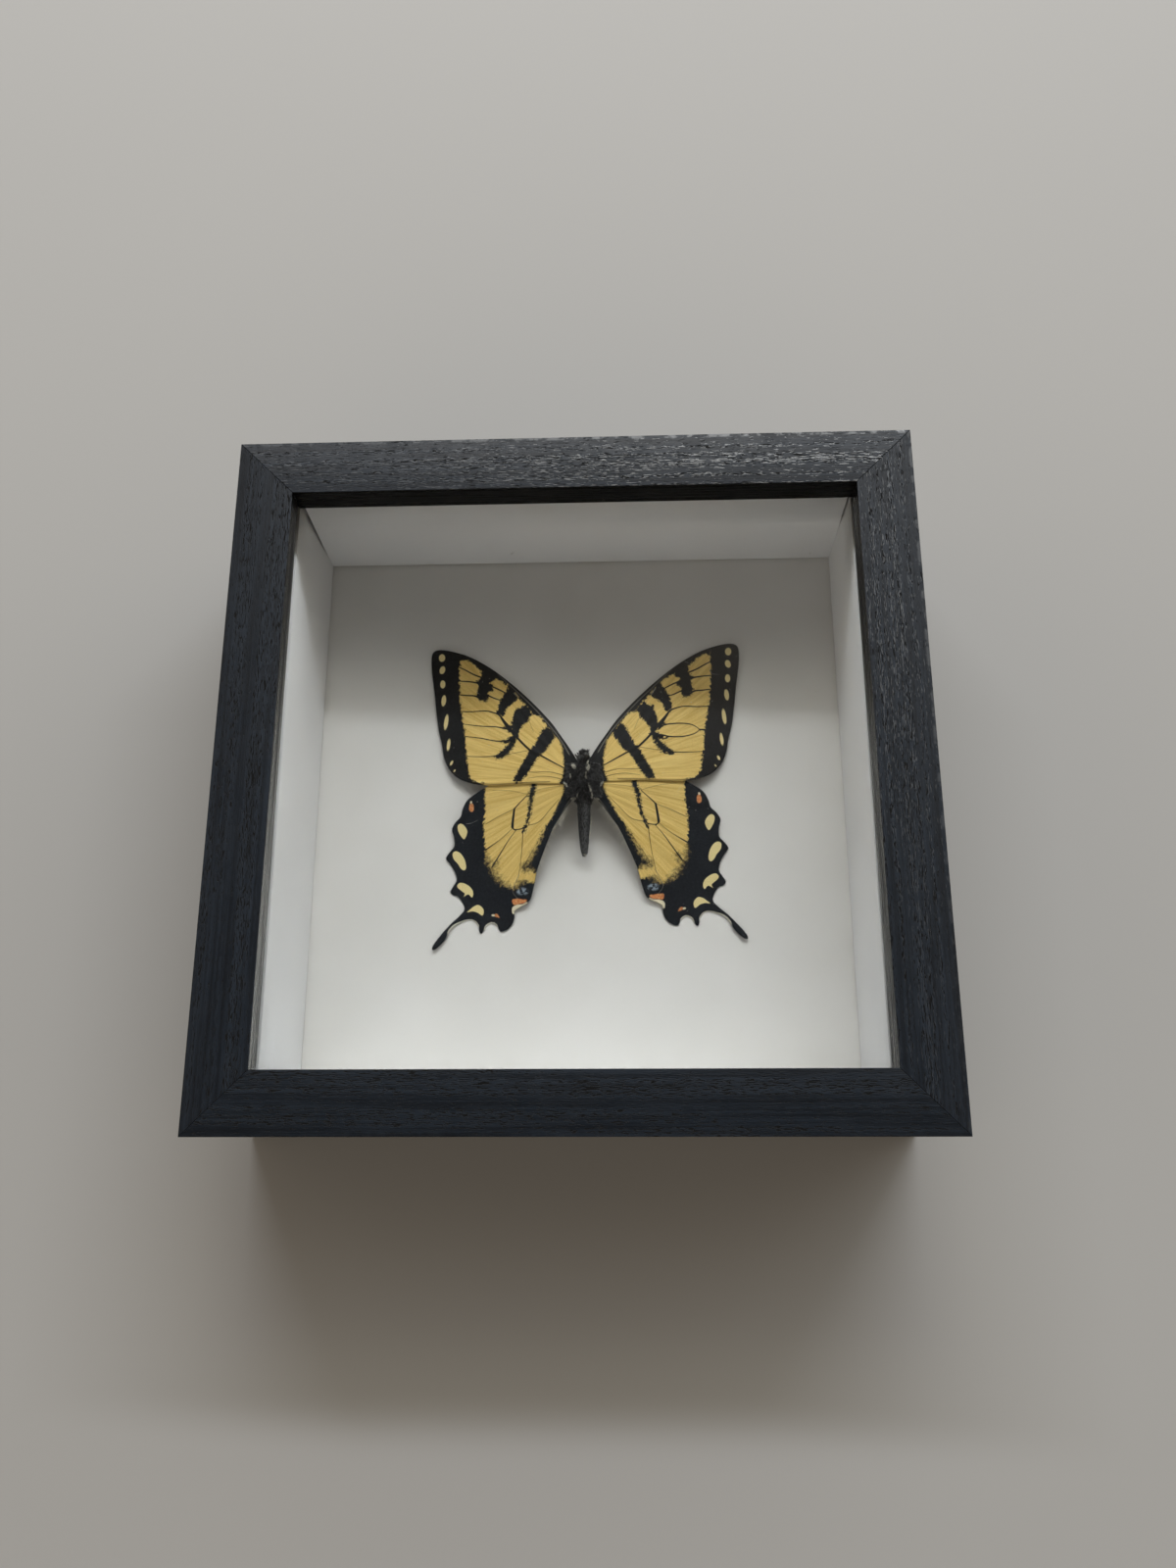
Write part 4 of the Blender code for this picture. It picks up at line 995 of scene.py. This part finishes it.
def furStrands():
    chance = np.random.default_rng(body["seed"])
    count = body["fur"]
    front = int(count * body["frontShare"])
    along = np.concatenate([chance.uniform(-5.6, 8.2, front), chance.uniform(-18.8, -5.0, count - front)])
    angle = chance.uniform(-0.35 * math.pi, 1.35 * math.pi, count)
    roots, outward = bodyAt(along, angle)
    head = np.clip((along - 4.4) / 1.0, 0, 1)[:, None]
    tail = np.clip((-along - 4.4) / 1.2, 0, 1)[:, None]
    thorax = 1 - head - tail
    lean = head * (0, 0.7, 0.25) + thorax * (0, -0.75, 0.1) + tail * (0, -2.4, 0.0)
    cell = np.floor(roots / body["clumpSize"]).astype(int) @ (7, 131, 53) % body["clumps"]
    clumps = chance.normal(0, 0.5, (body["clumps"], 3))  # hairs of one clump lean alike
    loose = 1 - 0.8 * tail
    directions = unit(outward + lean + loose * (clumps[cell] + chance.normal(0, 0.2, (count, 3))))
    lengths = (head * 0.62 + thorax * 1.25 + tail * 0.5)[:, 0] * chance.uniform(0.6, 1.3, count)
    flat = roots[:, :2] - wingRoot
    for x, y, z in body["eyePlaces"]:
        lengths = np.where(np.hypot(flat[:, 0] - x, flat[:, 1] - y) < body["eye"] * 0.9, 0.05, lengths)

    more = body["baseFur"]  # longer fur that lies over the wing bases
    way = np.where(chance.random(more) < 0.5, -1.0, 1.0)
    spread = np.column_stack([way * chance.uniform(2.0, 4.8, more), chance.uniform(-4.4, 4.8, more)])
    spread[:, 0] -= way * 0.14 * np.maximum(0, np.abs(spread[:, 1]) - 1.5)
    height = wingHeight(spread, forewing) + np.where(spread[:, 1] < 0, 0.1, 0.25)
    baseRoots = np.column_stack([spread + wingRoot, boardTop + height])
    baseWays = np.column_stack([way * 0.8, np.full(more, -0.7), np.full(more, 0.35)])
    baseWays = unit(baseWays + chance.normal(0, 0.4, (more, 3)))

    tuft = body["tuft"]  # stiff hairs that stand off the front of the head
    spikes = body["spikes"]  # its hairs stick together in points
    spikeX = np.linspace(-1.75, 1.25, spikes) + chance.normal(0, 0.07, spikes)
    spikeY = 7.9 - 0.42 * (spikeX + 0.2) ** 2 - chance.uniform(0, 0.4, spikes)
    spikeLean = (spikeX + 0.2) * 0.35 + chance.normal(0, 0.22, spikes)
    spikeWay = np.column_stack([spikeLean, np.ones(spikes), chance.uniform(-0.1, 0.5, spikes)])
    spikeLength = chance.uniform(0.5, 1.35, spikes)
    which = chance.integers(0, spikes, tuft)
    tuftFlat = np.column_stack([spikeX[which], spikeY[which]]) + chance.normal(0, 0.07, (tuft, 2))
    tuftRoots = np.column_stack([tuftFlat + wingRoot, boardTop + chance.uniform(6.6, 7.6, tuft)])
    tuftWays = unit(spikeWay[which] + chance.normal(0, 0.05, (tuft, 3)))

    vee = body["vee"]  # pale hairs where the hindwings meet the body
    veeFlat = np.column_stack([chance.uniform(-3.0, -1.8, vee), chance.normal(-4.5, 0.12, vee)])
    veeFlat[vee // 2:, 0] = chance.uniform(2.4, 3.6, vee - vee // 2)
    veeFlat[:, 1] -= 0.28 * (np.abs(veeFlat[:, 0] - 0.2) - 2)
    veeRoots = np.column_stack([veeFlat + wingRoot, boardTop + np.full(vee, 6.9)])
    veeWays = np.column_stack([np.sign(veeFlat[:, 0]), np.full(vee, -0.5), np.full(vee, 0.4)])
    veeWays = unit(veeWays + chance.normal(0, 0.4, (vee, 3)))

    parts = []  # thick pale hairs along the thorax's cream lines, at the wing bases and at the tip
    for line, startWidth, endWidth, share, top in body["creamTrails"]:
        count = int(body["creamHairs"] * share)
        trail = curveThrough(line, False, 12)
        at = chance.uniform(0, len(trail) - 1.001, count)
        low = at.astype(int)
        place = trail[low] + (trail[low + 1] - trail[low]) * (at - low)[:, None]
        width = startWidth + (endWidth - startWidth) * at / len(trail)
        place = place + chance.normal(0, 0.5, (count, 2)) * width[:, None]
        parts.append(np.column_stack([place, np.full(count, top)]))
    creamAll = np.vstack(parts)
    creamRoots = np.column_stack([creamAll[:, :2] + wingRoot, boardTop + creamAll[:, 2]])
    creamWays = unit(np.array([0.0, -0.8, 0.5]) + chance.normal(0, 0.3, (len(creamAll), 3)))

    own = [len(roots), more, tuft, vee, len(creamAll)]
    roots = np.vstack([roots, baseRoots, tuftRoots, veeRoots, creamRoots])
    directions = np.vstack([directions, baseWays, tuftWays, veeWays, creamWays])
    lengths = np.concatenate([
        lengths, chance.uniform(0.5, 1.2, more), spikeLength[which] * chance.uniform(0.8, 1.1, tuft),
        chance.uniform(0.4, 0.8, vee), chance.uniform(0.3, 0.6, len(creamAll))])
    flat = np.vstack([flat, spread, tuftFlat, veeFlat, creamAll[:, :2]])
    total = len(roots)
    cream = np.arange(total) >= sum(own[:3])
    sheen = np.exp(-((flat[:, 0] - 0.3) / 0.75) ** 2) * (flat[:, 1] < -5)
    isGrey = chance.random(total) < body["greyShare"]
    grey = np.where(isGrey, chance.uniform(0.2, 0.5, total), chance.uniform(0, 0.08, total))
    tones = np.where(cream, chance.uniform(0.7, 1.0, total), np.clip(grey + 0.42 * sheen, 0, 0.5))
    bends = np.column_stack([chance.normal(middle, swing, total)
                             for middle, swing in ((0, 0.15), (-0.1, 0.15), (-0.12, 0.12))])
    widths = chance.uniform(0.035, 0.070, total) * np.repeat([1.0, 1.4, 1.5, 1.3, 1.6], own)
    return strands("body_fur_hairs", roots, directions, lengths, widths, bends, tones)


def skinFinish():
    made, tree, shader = newMaterial("blackSkin")
    streaks = noise(tree, stretched(tree, objectCoordinates(tree), (2600, 700, 2600)), 1.0, 3.0)
    surface(tree, shader, mixColour(tree, fade(tree, streaks, 0.4, 0.7), body["skin"], body["skinSheen"]),
            fade(tree, streaks, 0.2, 0.8, 0.42, 0.65), bump(tree, streaks, 0.5, 0.0001))
    return made


def eyeFinish():
    made, tree, shader = newMaterial("compoundEye")
    facets = cells(tree, objectCoordinates(tree), 9000.0, "Distance")
    surface(tree, shader, mixColour(tree, fade(tree, facets, 0.2, 0.6), body["eyeGrey"], body["eyeDark"]),
            fade(tree, facets, 0.0, 0.6, 0.22, 0.4), bump(tree, facets, 0.3, 0.00003))
    return made


def furFinish():
    made, tree, shader = newMaterial("bodyHair")
    tone = attribute(tree, "tone")
    dark = mixColour(tree, fade(tree, tone, 0.0, 0.5), body["furDark"], body["furGrey"])
    patchy = noise(tree, objectCoordinates(tree), 3000.0)
    surface(tree, shader, mixColour(tree, fade(tree, tone, 0.6, 0.9), dark, body["furCream"]),
            fade(tree, patchy, 0.3, 0.7, 0.4, 0.6))
    return made


bodyHair = furFinish()
putPiece("butterfly_skin", bodySkin(), [skinFinish(), eyeFinish()], ["butterfly_body"])
putPiece("body_fur_hairs", furStrands(), [bodyHair])
print("body and fur done")


# Fine fringe round the wings, and sparse hairs on the hindwings' inner edges

fringe = {
    "spacing": 0.11, "length": 0.40, "width": 0.035, "paleWidth": 0.10, "seed": 23, "edgeHairs": 130,
    "paleArcs": [  # the two notches beside the tail
        ([(23.8, -35.6), (24.9, -35.0), (26.4, -35.6), (27.0, -36.4)], 0.6, 0.6),
        ([(28.4, -35.4), (29.3, -34.4), (30.9, -34.0), (33.1, -34.6), (34.9, -35.5),
          (36.2, -37.0)], 0.6, 0.6)],
    "innerEdge": [(13.0, -22.6), (12.0, -20.0), (10.4, -16.3), (8.5, -12.2), (6.6, -9.4), (4.6, -6.4)],
}


def wingFringe():
    chance = np.random.default_rng(fringe["seed"])
    roots, ways, lengths, tones, widths = [], [], [], [], []
    for side in sides.values():
        pair = ((forewing, 0.0, side["forewingShift"]), (hindwing, side["hindwingTurn"], 0.0))
        for wing, turn, shift in pair:
            loop = curveThrough(wing["outline"], True, 40)
            after = np.roll(loop, -1, axis=0)
            steps = np.hypot(*(after - loop).T)
            passed = np.concatenate([[0], np.cumsum(steps)[:-1]])
            marks = np.interp(np.arange(0, steps.sum(), fringe["spacing"]), passed, np.arange(len(loop)))
            index = marks.astype(int)
            here, ahead = loop[index], after[index]
            along = unit(ahead - here + 1e-9)
            outward = np.column_stack([-along[:, 1], along[:, 0]])  # both outlines run clockwise
            if wing is hindwing:  # only the edges that stand free
                keep = ~((here[:, 1] > -3.5) & (here[:, 0] < 26)) & (here[:, 0] > 5)
            else:
                keep = (here[:, 0] > 29) & (here[:, 1] < 38.5)
            here, outward = here[keep], outward[keep]
            heights = wingHeight(here, wing)
            base = placed(here - outward * 0.08, heights, side["mirror"], turn, shift)
            tip = placed(here + outward, heights, side["mirror"], turn, shift)
            tip[:, 2] = base[:, 2]
            roots.append(base)
            ways.append(unit(tip - base + chance.normal(0, 0.12, base.shape)))
            pale = strokeField(here, fringe["paleArcs"]) < 0
            lengths.append(fringe["length"] * chance.uniform(0.6, 1.2, len(here)) * np.where(pale, 1.25, 1.0))
            tones.append(np.where(pale, 1.0, chance.uniform(0, 0.25, len(here))))
            widths.append(np.where(pale, fringe["paleWidth"], fringe["width"]))
    roots, ways = np.vstack(roots), np.vstack(ways)
    return strands("wing_fringe", roots, ways, np.concatenate(lengths), np.concatenate(widths),
                   np.zeros_like(roots), np.concatenate(tones), rings=1)


def innerEdgeHairs():
    chance = np.random.default_rng(fringe["seed"] + 1)
    edge = curveThrough(fringe["innerEdge"], False, 40)
    roots, ways = [], []
    for side in sides.values():
        picked = edge[chance.integers(0, len(edge), fringe["edgeHairs"])]
        base = placed(picked, wingHeight(picked, hindwing), side["mirror"], side["hindwingTurn"], 0.0)
        way = np.tile((-side["mirror"] * 0.9, -0.55, -0.1), (len(base), 1))
        roots.append(base)
        ways.append(unit(way + chance.normal(0, 0.22, way.shape)))
    roots, ways = np.vstack(roots), np.vstack(ways)
    count = len(roots)
    bends = np.column_stack([np.zeros(count), chance.normal(-0.25, 0.15, count), np.zeros(count)])
    return strands("inner_edge_hairs", roots, ways, chance.uniform(0.7, 2.2, count), np.full(count, 0.035),
                   bends, chance.uniform(0.65, 0.95, count))


putPiece("wing_fringe", wingFringe(), [bodyHair])
putPiece("inner_edge_hairs", innerEdgeHairs(), [bodyHair])
print("fringe done")


# Floor, lights and camera

studio = {
    "floor": (0.70, 0.70, 0.69), "floorSize": 3.0, "floorDrop": 0.0002, "backdrop": (0.60, 0.59, 0.58),
    "lampDistance": 1.2, "lampAim": (0, 0, 0.03),
    "lamps": {  # way to each lamp, its size, power and tint
        "keyLight": ((0.07, 0.754, 0.657), (1.3, 0.075), 6.5, (0.92, 0.945, 0.99)),
        "softLight": ((0.0, 0.66, 0.75), (0.25, 0.25), 0.55, (1.0, 0.90, 0.62))},
    "skyTop": 0.02, "skyEdge": 0.58, "skyTint": (1.0, 0.85, 0.68),
    "brightWay": (0.42, 0.80, 0.42), "skyBright": 0.85, "brightTint": (0.92, 0.95, 0.94),
}
view = {
    "place": (0.01304, -0.07922, 0.30467), "right": (0.9993, -0.0013, -0.0366),
    "up": (0.0113, 0.9617, 0.2739), "lens": 26.53,
}


def paleFloor():
    made, tree, shader = newMaterial("paleFloor")
    dim = [0.96 * value for value in studio["floor"]]
    cloud = noise(tree, objectCoordinates(tree), 3.0, 3.0)
    surface(tree, shader, mixColour(tree, cloud, dim, studio["floor"]), 0.9)
    bm = bmesh.new()
    bmesh.ops.create_grid(bm, x_segments=1, y_segments=1, size=studio["floorSize"])
    bmesh.ops.translate(bm, verts=bm.verts[:], vec=(0, 0, -studio["floorDrop"]))
    mesh = toMesh("floor", bm)
    mesh.materials.append(made)
    floor = bpy.data.objects.new("floor", mesh)
    bpy.context.scene.collection.objects.link(floor)


def areaLight(name, way, size, watts, tint):
    lamp = bpy.data.lights.new(name, "AREA")
    lamp.shape = "RECTANGLE"  # its long side lies along X
    lamp.size, lamp.size_y = size
    lamp.energy = watts
    lamp.color = tint
    made = bpy.data.objects.new(name, lamp)
    made.location = place = Vector(way).normalized() * studio["lampDistance"]
    made.rotation_euler = (Vector(studio["lampAim"]) - place).to_track_quat("-Z", "Y").to_euler()
    bpy.context.scene.collection.objects.link(made)


def softSky():
    world = bpy.data.worlds.new("softSky")
    bpy.context.scene.world = world
    world.use_nodes = True
    tree = world.node_tree
    way = addNode(tree, "TexCoord").outputs["Generated"]
    height = addNode(tree, "SeparateXYZ", {0: way}).outputs["Z"]
    towards = addNode(tree, "VectorMath", {0: way, 1: studio["brightWay"]}, operation="DOT_PRODUCT")
    patch = fade(tree, towards.outputs["Value"], 0.6, 1.0)
    strength = fade(tree, height, 0.25, 0.85, studio["skyEdge"], studio["skyTop"])
    strength = plus(tree, strength, times(tree, patch, studio["skyBright"]))
    light = mixColour(tree, patch, studio["skyTint"], studio["brightTint"])
    seen = addNode(tree, "LightPath").outputs["Is Camera Ray"]  # the sky shows as a plain pale backdrop
    shade = tree.nodes["Background"]
    plug(tree, shade.inputs["Color"], mixColour(tree, seen, light, studio["backdrop"]))
    plug(tree, shade.inputs["Strength"], fade(tree, seen, 0.0, 1.0, strength, 1.0))


def photoCamera():
    data = bpy.data.cameras.new("camera")
    data.lens = view["lens"]
    data.clip_start = 0.01
    camera = bpy.data.objects.new("camera", data)
    right, up = Vector(view["right"]).normalized(), Vector(view["up"]).normalized()
    back = right.cross(up).normalized()
    up = back.cross(right)
    turn = Matrix((right, up, back)).transposed().to_4x4()
    camera.matrix_world = Matrix.Translation(view["place"]) @ turn
    bpy.context.scene.collection.objects.link(camera)
    bpy.context.scene.camera = camera


paleFloor()
for name, lamp in studio["lamps"].items():
    areaLight(name, *lamp)
softSky()
photoCamera()
bpy.context.scene.view_settings.view_transform = "Standard"
print("floor, lights and camera set")
